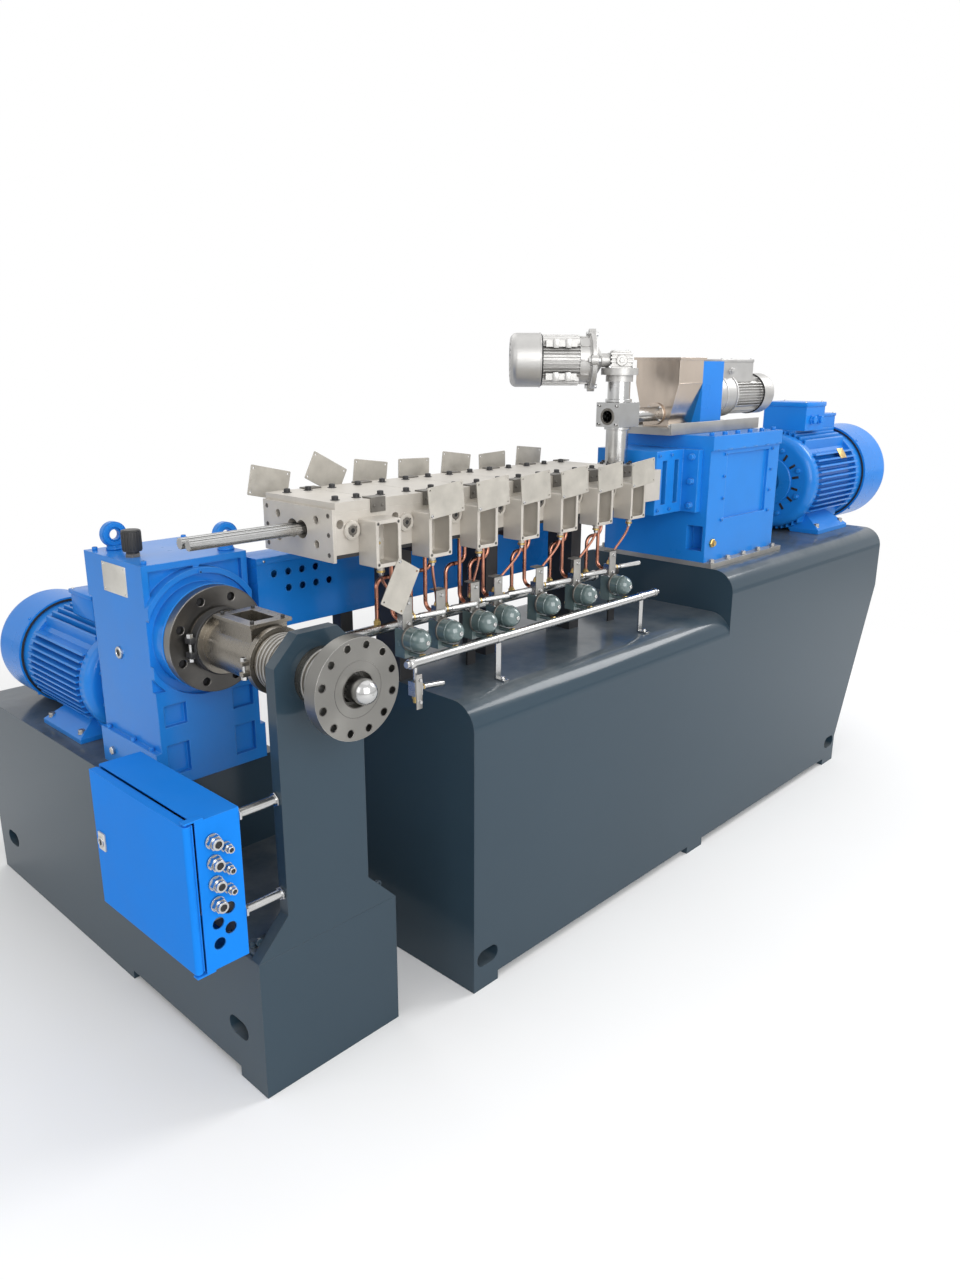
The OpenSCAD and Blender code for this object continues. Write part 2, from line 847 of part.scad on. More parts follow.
// Domed coil in front of a square valve body, with a stub to the rail
module solenoid_valve() {
    stub_y = rail_in + rail_d / 2 + run_gap;
    translate([-valve_w / 2, valve_y, valve_z]) cube([valve_w, valve_w, valve_h]);
    translate([0, stub_y, rail_z]) rod_y(stub_d, valve_y - stub_y);
    translate([0, valve_y - coil_l, coil_z]) {
        rod_y(coil_d, coil_l);
        dome_y(coil_d);
    }
}

module solenoid_valves() {
    color(enamel) place() for (x = station) translate([x, 0, 0]) solenoid_valve();
}

// Small valve that hangs below the end of the rail, with its handle to the side
module drain_valve() {
    drop = 0.3 * rail_up;
    dip = 96;
    translate([rail_x0 + 2 * stub_d, rail_in, rail_z - rail_d / 2 - run_gap - drop]) {
        cylinder(d = stub_d, h = drop);
        translate([-ball_w / 2, -ball_w / 2, -ball_h]) cube([ball_w, ball_w, ball_h]);
        translate([0, 0, -0.5 * ball_h]) rotate([0, dip, 0]) cylinder(d = handle_d, h = 0.9 * handle_l);
    }
}

// Ball-valve bodies on the solenoid valves, each with a rod handle
module valve_handles() {
    rise = 84;
    turn = -28;
    color(silver) place() {
        for (x = station) translate([x, ball_y, ball_z]) {
            translate([-ball_w / 2, -ball_w / 2, 0]) cube([ball_w, ball_w, ball_h]);
            translate([0, 0, 0.62 * ball_h]) rotate([0, rise, turn]) cylinder(d = handle_d, h = handle_l);
        }
        drain_valve();
    }
}

// Quarter bend in the X and Z plane about the origin, from the given angle
module pipe_bend(from) {
    rotate([90, 0, 0]) rotate([0, 0, from]) rotate_extrude(angle = 90)
        translate([bend_r, 0]) circle(d = pipe_d);
}

// Vertical drop, quarter bend and level run towards -Y, drawn from its upper end
module bent_pipe(drop, run) {
    translate([0, 0, bend_r - drop]) cylinder(d = pipe_d, h = drop - bend_r);
    translate([0, -bend_r, bend_r - drop]) rotate([0, 0, 90]) pipe_bend(270);
    translate([0, -bend_r, -drop]) rotate([90, 0, 0]) cylinder(d = pipe_d, h = run - bend_r);
}

// Drop that steps aside towards -X on the way down, drawn from its upper end
module stepped_pipe(drop, aside) {
    top = 0.3 * drop;
    level = aside - 2 * bend_r;
    translate([0, 0, -top]) cylinder(d = pipe_d, h = top);
    translate([-bend_r, 0, -top]) pipe_bend(270);
    translate([-bend_r - level, 0, -top - bend_r]) rod_x(pipe_d, level);
    translate([-bend_r - level, 0, -top - 2 * bend_r]) pipe_bend(90);
    translate([-aside, 0, -drop]) cylinder(d = pipe_d, h = drop - top - 2 * bend_r);
}

// Each section has a feed pipe from its valve and a return pipe to the header
module copper_pipes() {
    run = 1.5 * bend_r;
    header_top = header_z + header_d / 2 + run_gap;
    color(copper) place() for (x = station) {
        translate([x, ball_y + ball_w / 2 + run, barrel_bottom])
            bent_pipe(barrel_bottom - ball_z - ball_h / 2, run);
        translate([x + return_x, header_y, barrel_bottom])
            stepped_pipe(barrel_bottom - header_top, 2 * return_x);
    }
}

// Wiring duct

// Two staggered rows of cable holes in the duct's face
module duct_hole_pattern() {
    columns = 4;
    first_x = [0.54 * duct_d, duct_d];
    row_z = [0.77 * duct_h, 0.54 * duct_h];
    for (i = [0 : columns - 1], j = [0, 1])
        translate([first_x[j] + i * cable_pitch, row_z[j]]) children();
}

module wiring_duct() {
    color(blue) place() translate([duct_x0, duct_y, duct_z]) difference() {
        cube([duct_l, duct_d, duct_h]);
        translate([duct_t, duct_t, duct_t])
            cube([duct_l - 2 * duct_t, duct_d - 2 * duct_t, duct_h - 2 * duct_t]);
        translate([0, -over, 0]) along_y(duct_t + 2 * over)
            duct_hole_pattern() circle(d = cable_hole_d);
    }
}

// Legs on the flat of the base, inside its rounded edge, with a cap under the duct
module duct_legs() {
    leg_x = 40;
    leg_y = 36;
    cap_t = 8;
    y0 = min(duct_y, base_w - edge_r - leg_y);
    color(dark) place() for (r = [0.012, 0.42, 0.78]) translate([r * low_l, y0, low_h]) {
        cube([leg_x, leg_y, duct_up]);
        translate([0, 0, duct_up - cap_t]) cube([leg_x, duct_y + duct_d - y0, cap_t]);
    }
}

// Twin drive

// Open housing with two slots in each side and a wide flange on the gearbox
module lantern() {
    slot_w = 24;
    slot_h = lantern_h - 3.4 * lantern_t;
    y0 = mid_y - lantern_w / 2;
    z0 = axis_z - lantern_h / 2;
    color(blue) place() translate([barrel_x1, 0, 0]) difference() {
        union() {
            translate([0, y0, z0]) cube([lantern_l, lantern_w, lantern_h]);
            translate([lantern_l - adapter_t, mid_y - adapter_w / 2, z0])
                cube([adapter_t, adapter_w, lantern_h]);
        }
        translate([lantern_t, y0 + lantern_t, z0 + lantern_t])
            cube([lantern_l - lantern_t - adapter_t, lantern_w - 2 * lantern_t, lantern_h - 2 * lantern_t]);
        for (r = [0.27, 0.66]) translate([r * lantern_l - slot_w / 2, y0 - over, axis_z - slot_h / 2])
            cube([slot_w, lantern_w + 2 * over, slot_h]);
        twin_bores(-over, lantern_l + 2 * over);
    }
}

module gearbox_sole() {
    color(silver) place() translate([gear_x0, mid_y - gear_w / 2 - sole_out, high_h])
        cube([gear_l + sole_out, gear_w + 2 * sole_out, sole_t]);
}

// Housing with an overhanging cover, a sunk panel on each side and a window at the barrel end
module twin_gearbox() {
    wall_y = [mid_y - gear_w / 2 + rim_out, mid_y + gear_w / 2 - rim_out];
    panel_deep = 10;
    panel_z = 0.33 * gear_h;
    panel_h = gear_h - panel_z - 1.3 * rim_h;
    window_deep = 40;
    color(blue) place() difference() {
        union() {
            translate([gear_x0, wall_y[0], sole_z]) cube([gear_l, wall_y[1] - wall_y[0], gear_h]);
            translate([gear_x0, wall_y[0] - rim_out, gear_top - rim_h]) cube([gear_l, gear_w, rim_h]);
        }
        for (y = [wall_y[0] - over, wall_y[1] - panel_deep])
            translate([gear_x0 + 0.23 * gear_l, y, sole_z + panel_z])
                cube([0.61 * gear_l, panel_deep + over, panel_h]);
        translate([gear_x0 - over, wall_y[0] + 1.5 * rim_out, sole_z + 0.09 * gear_h])
            cube([window_deep + over, 0.14 * gear_w, 0.2 * gear_h]);
        for (s = [-1, 1]) translate([gear_x0 - over, mid_y + s * screw_gap / 2, axis_z])
            rod_x(shaft_d + 2 * run_gap, shaft_in + shaft_d);
    }
}

module shaft_coupling() {
    shaft = 0.4 * hub_d;
    hubs_l = 0.42 * couple_l;
    color(dark) place() translate([gear_x0 + gear_l, mid_y, motor_z]) {
        rod_x(shaft, couple_l);
        translate([(couple_l - hubs_l) / 2, 0, 0]) rod_x(hub_d, hubs_l);
    }
}

// Round core with straight cooling fins on its four sides
module fin_profile(d, fins) {
    core = 0.86 * d;
    fin_t = 0.016 * d;
    pitch = 0.56 * d / (fins - 1);
    circle(d = core);
    intersection() {
        circle(d = d);
        for (i = [0 : fins - 1], a = [0, 90]) rotate(a)
            translate([-d / 2, (i - (fins - 1) / 2) * pitch - fin_t / 2]) square([d, fin_t]);
    }
}

// Foot-mounted motor along +X with its drive end at the origin and its feet below
module motor_frame(d, l, h) {
    fins = 11;
    shield = 0.12 * l;
    shield_d = 0.94 * d;
    edge = 0.08 * d;
    half_w = 0.49 * d;
    pad = 0.08 * h;
    foot = motor_foot * l;
    slope = 0.12 * l;
    translate([shield, 0, 0]) along_x(l - 2 * shield) fin_profile(d, fins);
    translate([shield, 0, 0]) mirror([1, 0, 0]) drum(shield_d, shield, edge);
    translate([l - shield, 0, 0]) rod_x(shield_d, shield);
    intersection() {
        translate([foot[0], 0, 0]) for (s = [0, 1]) mirror([0, s, 0])
            along_x(foot[1] - foot[0]) polygon([
                [0.26 * d, -0.31 * d], [half_w, -h + pad], [half_w, -h],
                [0.19 * d, -h], [0.1 * d, -0.4 * d]
            ]);
        translate([0, -d, 0]) along_y(2 * d) polygon([
            [foot[0], -h], [foot[1], -h], [foot[1], -h + pad], [foot[1] - slope, -0.3 * d],
            [foot[0] + slope, -0.3 * d], [foot[0], -h + pad]
        ]);
    }
}

// Fan cowl along +X, closed by a rounded end with a ring of air slots
module motor_cowl(d, l) {
    slot_deep = 5;
    slot_w = 0.05 * d;
    difference() {
        drum(d, l, 0.12 * d);
        for (i = [1 : 3]) translate([l - slot_deep, 0, 0]) difference() {
            rod_x(0.2 * i * d + slot_w, slot_deep + over);
            translate([-over, 0, 0]) rod_x(0.2 * i * d - slot_w, slot_deep + 3 * over);
        }
    }
}

module drive_motor() {
    color(blue) place() translate([motor_x0, mid_y, motor_z]) {
        motor_frame(motor_d, motor_l, motor_h);
        for (i = [0, 1]) translate([motor_box_x + i * motor_box_l[0], -motor_box_w[1] / 2, 0])
            cube([motor_box_l[i], motor_box_w[1], motor_d / 2]);
    }
}

module drive_motor_cowl() {
    color(blue) place() translate([motor_x0 + motor_l, mid_y, motor_z]) motor_cowl(cowl_d, cowl_l);
}

module drive_motor_boxes() {
    color(blue) place() translate([motor_x0 + motor_box_x, mid_y, motor_z + motor_d / 2])
        for (i = [0, 1]) translate([i * motor_box_l[0], -motor_box_w[i] / 2, 0])
            cube([motor_box_l[i], motor_box_w[i], motor_box_h[i]]);
}

// Feeder

module feeder_shelf() {
    color(silver) place() translate([gear_x0 - shelf_out, mid_y - shelf_w / 2, gear_top])
        cube([shelf_l, shelf_w, shelf_t]);
}

// Sheet hopper with an upright band over a tapered lower part
module hopper_wall(inset) {
    half_w = hopper_w / 2 - inset;
    half_foot = hopper_foot / 2 - inset;
    along_x(hopper_l - 2 * inset) polygon([
        [-half_foot, 0], [half_foot, 0], [half_w, hopper_h - hopper_band],
        [half_w, hopper_h], [-half_w, hopper_h], [-half_w, hopper_h - hopper_band]
    ]);
}

module feeder_hopper() {
    rim_t = 2 * hopper_t;
    color(nickel) place() translate([hopper_x0, mid_y, feeder_z]) difference() {
        union() {
            hopper_wall(0);
            translate([-rim_w, -hopper_w / 2 - rim_w, hopper_h - rim_t])
                cube([hopper_l + 2 * rim_w, hopper_w + 2 * rim_w, rim_t]);
        }
        translate([hopper_t, 0, hopper_t + trough_h]) hopper_wall(hopper_t);
        translate([-over, 0, tube_z - feeder_z]) rod_x(tube_d - 2 * tube_t, hopper_l / 2);
    }
}

module feeder_tube() {
    x0 = stuff_x + stuff_block / 2;
    color(silver) place() translate([x0, mid_y, tube_z]) difference() {
        rod_x(tube_d, hopper_x0 - x0);
        translate([-over, 0, 0]) rod_x(tube_d - 2 * tube_t, hopper_x0 - x0 + 2 * over);
    }
}

module feeder_drive_plate() {
    color(blue) place() translate([drive_x0, mid_y - hopper_w / 2, feeder_z])
        cube([drive_t, hopper_w, drive_h]);
}

// Gear motor with a bell in front, a finned body, a cowl and a terminal box on top
module feeder_motor() {
    d = feed_motor_d;
    bell = 0.33 * feed_motor_l;
    cowl = 0.2 * feed_motor_l;
    fins = 9;
    color(silver) place() translate([drive_x0 + drive_t, mid_y, gear_top + feed_motor_up]) {
        rod_x(d, bell);
        translate([bell, 0, 0]) along_x(feed_motor_l - bell - cowl) fin_profile(0.96 * d, fins);
        translate([feed_motor_l - cowl, 0, 0]) motor_cowl(d, cowl);
        translate([0.12 * feed_motor_l, -0.32 * d, 0.3 * d])
            cube([0.54 * feed_motor_l, 0.64 * d, 0.52 * d]);
    }
}

// Stuffer

module stuffer_pipe() {
    bore = stuff_d - 2 * stuff_t;
    color(silver) place() translate([stuff_x, mid_y, 0]) difference() {
        union() {
            translate([0, 0, block_top]) cylinder(d = stuff_d, h = worm_z0 - block_top);
            translate([-stuff_block / 2, -stuff_block_w / 2, inlet_z0])
                cube([stuff_block, stuff_block_w, stuff_block_h]);
        }
        translate([0, 0, block_top - over]) cylinder(d = bore, h = worm_z0 - block_top + 2 * over);
        translate([-stuff_block, 0, tube_z]) rod_x(tube_d - 2 * tube_t, 2 * stuff_block);
    }
}

// Ribbed worm housing on a ring and a round foot flange
module stuffer_gearbox() {
    ribs = 4;
    rib_t = 0.5 * worm_h / ribs;
    core_w = 0.88 * worm_w;
    color(silver) place() translate([stuff_x, mid_y, worm_z0]) rotate(stuff_turn) {
        cylinder(d = 1.24 * worm_w, h = worm_foot);
        translate([0, 0, worm_foot]) cylinder(d = worm_flange_d, h = worm_foot);
        translate([-core_w / 2, -core_w / 2, 2 * worm_foot]) cube([core_w, core_w, worm_h]);
        for (i = [0 : ribs - 1])
            translate([-worm_w / 2, -worm_w / 2, 2 * worm_foot + (2 * i + 1) * rib_t])
                cube([worm_w, worm_w, rib_t]);
    }
}

// Flange motor that points back and to the discharge end, with a conical neck and a lobed flange
module stuffer_motor() {
    d = stuff_motor_d;
    neck = 0.28 * d;
    collar = (worm_flange_d - worm_w) / 2 + 1;
    flange = 0.13 * d;
    shield = 0.2 * stuff_motor_l;
    body = 0.445 * stuff_motor_l;
    cowl = stuff_motor_l - shield - body;
    fins = 9;
    color(silver) place() translate([stuff_x, mid_y, worm_z]) rotate(90 + stuff_turn)
    translate([worm_w / 2, 0, 0]) {
        rod_x(0.26 * d, collar);
        translate([collar, 0, 0]) rotate([0, 90, 0])
            cylinder(d1 = 0.26 * d, d2 = 0.66 * d, h = neck - collar);
        translate([neck, 0, 0]) {
            along_x(flange) {
                circle(d = 0.94 * d);
                for (a = [0 : 90 : 270]) rotate(a) translate([0.48 * d, 0]) circle(d = 0.2 * d);
            }
            rod_x(0.88 * d, shield);
            translate([shield, 0, 0]) along_x(body) fin_profile(0.94 * d, fins);
            for (s = [-1, 1]) translate([shield + 0.1 * body, 0.28 * d, (0.3 * s - 0.06) * d])
                cube([0.8 * body, 0.19 * d, 0.12 * d]);
            translate([shield + body, 0, 0]) motor_cowl(d, cowl);
        }
    }
}

// Second base

module second_base() {
    slot_y = [front2_y + lift2_in, front2_y + base2_l - lift2_in];
    color(slate) place() difference() {
        translate([base2_x0, front2_y, 0]) union() {
            cube([low2_w, base2_l, low2_h]);
            translate([0, low2_l, 0]) cube([low2_w, base2_l - low2_l, high2_h]);
        }
        translate([base2_x0 - over, front2_y + foot2_front, -over])
            cube([low2_w + 2 * over, base2_l - foot2_front - foot2_rear, foot_h + over]);
        for (y = slot_y, s = [0, 1])
            translate([base2_x0 + s * low2_w, y, lift2_z])
                rotate([0, 0, s == 0 ? -90 : 90]) translate([0, -over, 0])
                    lift_slot(lift_l, lift_h, lift_deep + over);
    }
}

module column() {
    top = axis2_z + col_over;
    color(slate) place() difference() {
        translate([axis2_x, front2_y, 0]) along_y(col_t) polygon([
            [-low2_w / 2, low2_h], [low2_w / 2, low2_h],
            [col_w / 2, low2_h + col_shoulder], [col_w / 2, top - col_chamfer],
            [col_w / 2 - col_chamfer, top], [col_chamfer - col_w / 2, top],
            [-col_w / 2, top - col_chamfer], [-col_w / 2, low2_h + col_shoulder]
        ]);
        translate([axis2_x, front2_y - over, axis2_z]) rod_y(barrel2_d + 2 * run_gap, col_t + 2 * over);
    }
}

// Single-screw stage

// Sunk fields of the casting's front, in X and Z about the screw axis
module casting_pockets() {
    half_w = gear2_w / 2 - web;
    field_w = 0.21 * gear2_w;
    low_z = -axis2_up;
    difference() {
        translate([-half_w, gear2_low - axis2_up + web])
            square([2 * half_w, gear2_over + axis2_up - gear2_low - 2 * web]);
        circle(d = rear_d + 2 * (arch_gap + arch_w));
        translate([-web / 2, 0]) square([web, gear2_over]);
    }
    for (s = [0, 1], row = [[0.12, 0.32], [0.63, 0.22]]) mirror([s, 0])
        translate([-half_w, low_z + row[0] * gear2_low]) square([field_w, row[1] * gear2_low]);
}

// Cast housing: lower half proud in front, arched rib round the nose, deeper upper half behind
module second_gearbox() {
    h = gear2_over + axis2_up;
    upper_h = 0.62 * gear2_over;
    arch_d = rear_d + 2 * (arch_gap + arch_w);
    groove_d = rear_d + 2 * arch_gap;
    bore = bore2_d - 4 + 2 * run_gap;
    color(blue) place() translate([axis2_x, gear2_y0, axis2_z]) difference() {
        union() {
            translate([-gear2_w / 2, 0, -axis2_up]) cube([gear2_w, gear2_l, h]);
            translate([-gear2_w / 2, gear2_l, gear2_over - upper_h]) cube([gear2_w, gear2_back, upper_h]);
            translate([0, -gear2_proud, 0]) along_y(gear2_proud) difference() {
                union() {
                    translate([-gear2_w / 2, -axis2_up]) square([gear2_w, gear2_low]);
                    intersection() {
                        circle(d = arch_d);
                        translate([-gear2_w / 2, -axis2_up]) square([gear2_w, h]);
                    }
                }
                circle(d = groove_d);
            }
            translate([-gear2_w / 2 - gear2_foot_out, -gear2_proud, -axis2_up])
                cube([gear2_w + 2 * gear2_foot_out, gear2_l + gear2_proud, gear2_foot]);
            translate([0, -nose_l, 0]) rod_y(rear_d, nose_l);
            translate([0, gear2_l, motor2_h - axis2_up]) rod_y(0.7 * motor2_d, bell_l);
        }
        translate([0, -gear2_proud - over, 0]) along_y(pocket + gear2_proud + over) intersection() {
            casting_pockets();
            translate([-gear2_w, gear2_low - axis2_up]) square([2 * gear2_w, h]);
        }
        translate([0, -gear2_proud - over, 0]) along_y(pocket + over) casting_pockets();
        translate([0, -nose_l - over, 0]) rod_y(bore, nose_l + shank_in + 2 * over);
    }
}

module lifting_eyes() {
    base_d = 0.58 * eye_d;
    neck_w = 0.38 * eye_d;
    sink = 4;
    ring_z = eye_base + eye_d / 2 - sink;
    color(blue) place() for (at = eye_at)
        translate([axis2_x + at.x, gear2_y0 + at.y, gear2_top]) {
            cylinder(d = base_d, h = eye_base);
            translate([0, -eye_t / 2, 0]) difference() {
                union() {
                    translate([0, 0, ring_z]) rod_y(eye_d, eye_t);
                    translate([-neck_w / 2, 0, 0]) cube([neck_w, eye_t, eye_base + sink]);
                }
                translate([0, -over, ring_z]) rod_y(eye_hole_d, eye_t + 2 * over);
            }
        }
}

module breather_cap() {
    neck_d = 30;
    neck_h = 14;
    cap_d = 44;
    cap_h = 48;
    color(dark) place()
        translate([axis2_x - 0.335 * gear2_w, gear2_y0 + 0.46 * gear2_l, gear2_top]) {
            cylinder(d = neck_d, h = neck_h);
            translate([0, 0, neck_h]) cylinder(d = cap_d, h = cap_h);
        }
}

module rear_flange() {
    holes = 8;
    color(nickel) place() translate([axis2_x, rear_y, axis2_z]) difference() {
        rod_y(rear_d, rear_t);
        translate([0, -over, 0]) rod_y(bore2_d, rear_t + 2 * over);
        for (i = [0 : holes - 1]) rotate([0, (i + 0.5) * 360 / holes, 0])
            translate([rear_pcd / 2, -over, 0]) rod_y(rear_hole_d, rear_t + 2 * over);
    }
}

// Barrel with cooling grooves, a collar behind, a clamp ring and a feed opening with a flat rim
module second_barrel() {
    y0 = flange_y + flange_t;
    l = rear_y - y0;
    wide_d = barrel2_d + 2 * collar_out;
    ring_l = 16;
    rim_t = 8;
    port_h = barrel2_d / 2 + throat_h;
    port = [throat_w + 2 * throat_t, throat_l + 2 * throat_t];
    rings = 4;
    groove_in = 10;
    color(nickel) place() translate([axis2_x, 0, axis2_z]) difference() {
        union() {
            translate([0, y0, 0]) rod_y(barrel2_d, l);
            translate([0, rear_y - collar_l, 0]) rod_y(wide_d, collar_l);
            translate([0, throat_y - port.y / 2 - 2 * ring_l, 0]) rod_y(wide_d, ring_l);
            translate([-port.x / 2, throat_y - port.y / 2, 0]) cube([port.x, port.y, port_h]);
            translate([-port.x / 2 - rim_t, throat_y - port.y / 2 - rim_t, port_h - rim_t])
                cube([port.x + 2 * rim_t, port.y + 2 * rim_t, rim_t]);
        }
        translate([0, y0 - over, 0]) rod_y(bore2_d, l + 2 * over);
        translate([-throat_w / 2, throat_y - throat_l / 2, 0]) cube([throat_w, throat_l, port_h + over]);
        for (i = [0 : rings - 1], y = [y0, front2_y + col_t])
            translate([0, y + groove_in + i * 2 * groove_w, 0]) difference() {
                rod_y(barrel2_d + over, groove_w);
                translate([0, -over, 0]) rod_y(barrel2_d - 2 * groove_deep, groove_w + 2 * over);
            }
    }
}

module front_flange() {
    holes = 12;
    color(nickel) place() translate([axis2_x, flange_y, axis2_z]) difference() {
        rod_y(flange_d, flange_t);
        translate([0, -over, 0]) rod_y(flange_bore, flange_deep + over);
        translate([0, -over, 0]) rod_y(bore2_d, flange_t + 2 * over);
        for (i = [0 : holes - 1]) rotate([0, (i + 0.5) * 360 / holes, 0])
            translate([flange_pcd / 2, -over, 0]) rod_y(flange_hole_d, flange_t + 2 * over);
    }
}

// Screw with one helical flight, a domed tip in front and a shank in the gearbox
module second_screw() {
    outer = bore2_d - 2;
    root = 0.62 * bore2_d;
    shank = bore2_d - 4;
    flight_w = 10;
    tip_y = flange_y - tip_out + tip_d / 2;
    flight_y = flange_y + flange_t;
    flight_l = rear_y - flight_y;
    turns = flight_l / lead;
    color(silver) place() translate([axis2_x, 0, axis2_z]) {
        translate([0, tip_y, 0]) {
            rod_y(tip_d, flight_y - tip_y);
            dome_y(tip_d);
        }
        translate([0, flight_y, 0]) rod_y(root, flight_l);
        translate([0, rear_y, 0]) rotate([90, 0, 0])
            linear_extrude(flight_l, twist = 360 * turns, slices = 16 * turns, $fn = 6)
                translate([0, -flight_w / 2]) square([outer / 2, flight_w]);
        translate([0, rear_y, 0]) rod_y(shank, rear_t + nose_l + shank_in);
    }
}

module second_motor() {
    color(blue) place() translate([axis2_x, motor2_y0, motor2_z]) rotate([0, 0, 90])
        motor_frame(motor2_d, motor2_l, motor2_h);
}

module second_motor_cowl() {
    color(blue) place() translate([axis2_x, motor2_y0 + motor2_l, motor2_z]) rotate([0, 0, 90])
        motor_cowl(cowl2_d, cowl2_l);
}

// Junction box

// Cable entries in the near side: an upright row of large ones beside a row that begins small
module entry_places(row, first, count) {
    row_x = [0.34 * cab_d, 0.62 * cab_d];
    top_z = [cab_z + 0.85 * cab_h, cab_z + 0.785 * cab_h];
    for (i = [first : first + count - 1])
        translate([cab_x0 + row_x[row], cab_y0, top_z[row] - i * entry_pitch]) children();
}

module junction_box() {
    lug_t = 4;
    lug_w = 2 * pin_d + 4;
    lug_l = cab_x0 + 0.2 * cab_d - hinge_x + lug_w / 2;
    pin_l = 14;
    color(blue) place() {
        difference() {
            translate([cab_x0, cab_y0, cab_z]) cube([cab_d, cab_w, cab_h]);
            translate([cab_x0 - over, cab_y0 + cab_t, cab_z + cab_t])
                cube([cab_d - cab_t + over, cab_w - 2 * cab_t, cab_h - 2 * cab_t]);
            entry_places(0, 0, 6) translate([0, -over, 0]) rod_y(entry_d, cab_t + 2 * over);
            entry_places(1, 0, 3) translate([0, -over, 0]) rod_y(entry_small_d, cab_t + 2 * over);
            entry_places(1, 3, 2) translate([0, -over, 0]) rod_y(entry_d, cab_t + 2 * over);
        }
        for (s = [0, 1]) translate([0, 0, s * (2 * cab_z + cab_h)]) mirror([0, 0, s]) {
            translate([hinge_x - lug_w / 2, cab_y0, cab_z - lug_t]) cube([lug_l, lug_w, lug_t]);
            translate([hinge_x, hinge_y, cab_z - over / 2]) cylinder(d = pin_d, h = pin_l + over / 2);
        }
    }
}

// Folded door that turns on two pivot pins along its near edge
module junction_box_door() {
    skin = 3;
    bar_h = 22;
    socket_h = 20;
    door_z0 = cab_z + door_gap;
    door_h = cab_h - 2 * door_gap;
    color(blue) place() difference() {
        union() {
            translate([door_x0, hinge_y, door_z0]) cube([door_t, cab_w - door_t / 2, door_h]);
            translate([hinge_x, hinge_y, door_z0]) cylinder(d = door_t, h = door_h);
            translate([door_x0 - lock_out, cab_y0 + cab_w - 1.3 * lock_d, cab_z + cab_h / 2])
                rod_x(lock_d, lock_out);
        }
        translate([door_x0 + skin, hinge_y + door_t / 2, door_z0 + bar_h])
            cube([door_t, cab_w - door_t - skin, door_h - 2 * bar_h]);
        for (z = [cab_z, cab_z + cab_h - socket_h])
            translate([hinge_x, hinge_y, z]) cylinder(d = pin_d + 2 * run_gap, h = socket_h + over);
    }
}

// Cable gland on the outside of the wall, with a collar wider than its entry of diameter d
module gland(d) {
    collar = 5;
    nut = 12;
    tail = 7;
    translate([0, -collar, 0]) rod_y(d + 6, collar);
    translate([0, -collar - nut, 0]) rotate([-90, 0, 0]) cylinder(d = d + 5, h = nut, $fn = 6);
    translate([0, -collar - nut - tail, 0]) rod_y(0.9 * d, tail);
}

module cable_glands() {
    color(silver) place() {
        entry_places(0, 0, 4) gland(entry_d);
        entry_places(1, 0, 3) gland(entry_small_d);
    }
}

module box_rods() {
    color(silver) place() for (r = [0.29, 0.94])
        translate([cab_x1, rod_at_y, cab_z + r * cab_h]) rod_x(rod_d, rod_l);
}

twin_base();
barrel_supports();
discharge_plate();
barrel_section(0);  // barrel_section_1
barrel_section(1);  // barrel_section_2
barrel_section(2);  // barrel_section_3
barrel_section(3);  // barrel_section_4
barrel_section(4);  // barrel_section_5
barrel_section(5);  // barrel_section_6
barrel_section(6);  // barrel_section_7
barrel_section(7);  // barrel_section_8
top_heating_plates();
bottom_heating_plates();
joint_straps();
front_terminal_boxes();
rear_terminal_boxes();
front_box_covers();
rear_box_covers();
screw_shaft_front();
screw_shaft_rear();
cooling_rail();
rail_brackets();
rear_header();
header_brackets();
solenoid_valves();
valve_handles();
copper_pipes();
wiring_duct();
duct_legs();
lantern();
gearbox_sole();
twin_gearbox();
shaft_coupling();
drive_motor();
drive_motor_cowl();
drive_motor_boxes();
feeder_shelf();
feeder_hopper();
feeder_tube();
feeder_drive_plate();
feeder_motor();
stuffer_pipe();
stuffer_gearbox();
stuffer_motor();
second_base();
column();
second_gearbox();
lifting_eyes();
breather_cap();
rear_flange();
second_barrel();
front_flange();
second_screw();
second_motor();
second_motor_cowl();
junction_box();
junction_box_door();
cable_glands();
box_rods();
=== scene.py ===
from itertools import product
from math import cos, pi, radians, sin, sqrt

import bmesh
import bpy
from mathutils import Matrix, Vector


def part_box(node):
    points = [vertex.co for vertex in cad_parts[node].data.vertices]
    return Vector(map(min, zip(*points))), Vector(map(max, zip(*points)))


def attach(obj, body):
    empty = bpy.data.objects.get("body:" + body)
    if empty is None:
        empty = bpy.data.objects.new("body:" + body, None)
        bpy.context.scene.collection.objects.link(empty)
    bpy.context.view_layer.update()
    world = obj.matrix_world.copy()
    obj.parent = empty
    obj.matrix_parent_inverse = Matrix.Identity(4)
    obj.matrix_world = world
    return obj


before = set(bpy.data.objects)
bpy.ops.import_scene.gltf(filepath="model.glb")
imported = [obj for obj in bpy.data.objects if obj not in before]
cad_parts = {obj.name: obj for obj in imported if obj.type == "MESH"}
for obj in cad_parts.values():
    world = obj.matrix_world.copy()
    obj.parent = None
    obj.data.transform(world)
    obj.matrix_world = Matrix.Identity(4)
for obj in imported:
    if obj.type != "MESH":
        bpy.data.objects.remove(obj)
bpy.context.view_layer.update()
scene = bpy.context.scene

# Places are given in millimetres from the front left foot of the twin base, as in the part's source
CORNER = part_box("twin_base")[0]
MM = 0.001


def T(x, y, z):
    return Vector((CORNER.x + x / 1000, CORNER.y + y / 1000, z / 1000))


def mm(x, y, z):
    """Offset given in millimetres."""
    return Vector((x, y, z)) / 1000


def span(node):
    """Lowest and highest corner of a CAD node, in millimetres from the twin base's corner."""
    lo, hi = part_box(node)
    return (lo - Vector((CORNER.x, CORNER.y, 0))) * 1000, (hi - Vector((CORNER.x, CORNER.y, 0))) * 1000


def middle_of(name):
    lo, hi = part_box(name)
    return tuple((lo + hi) / 2)


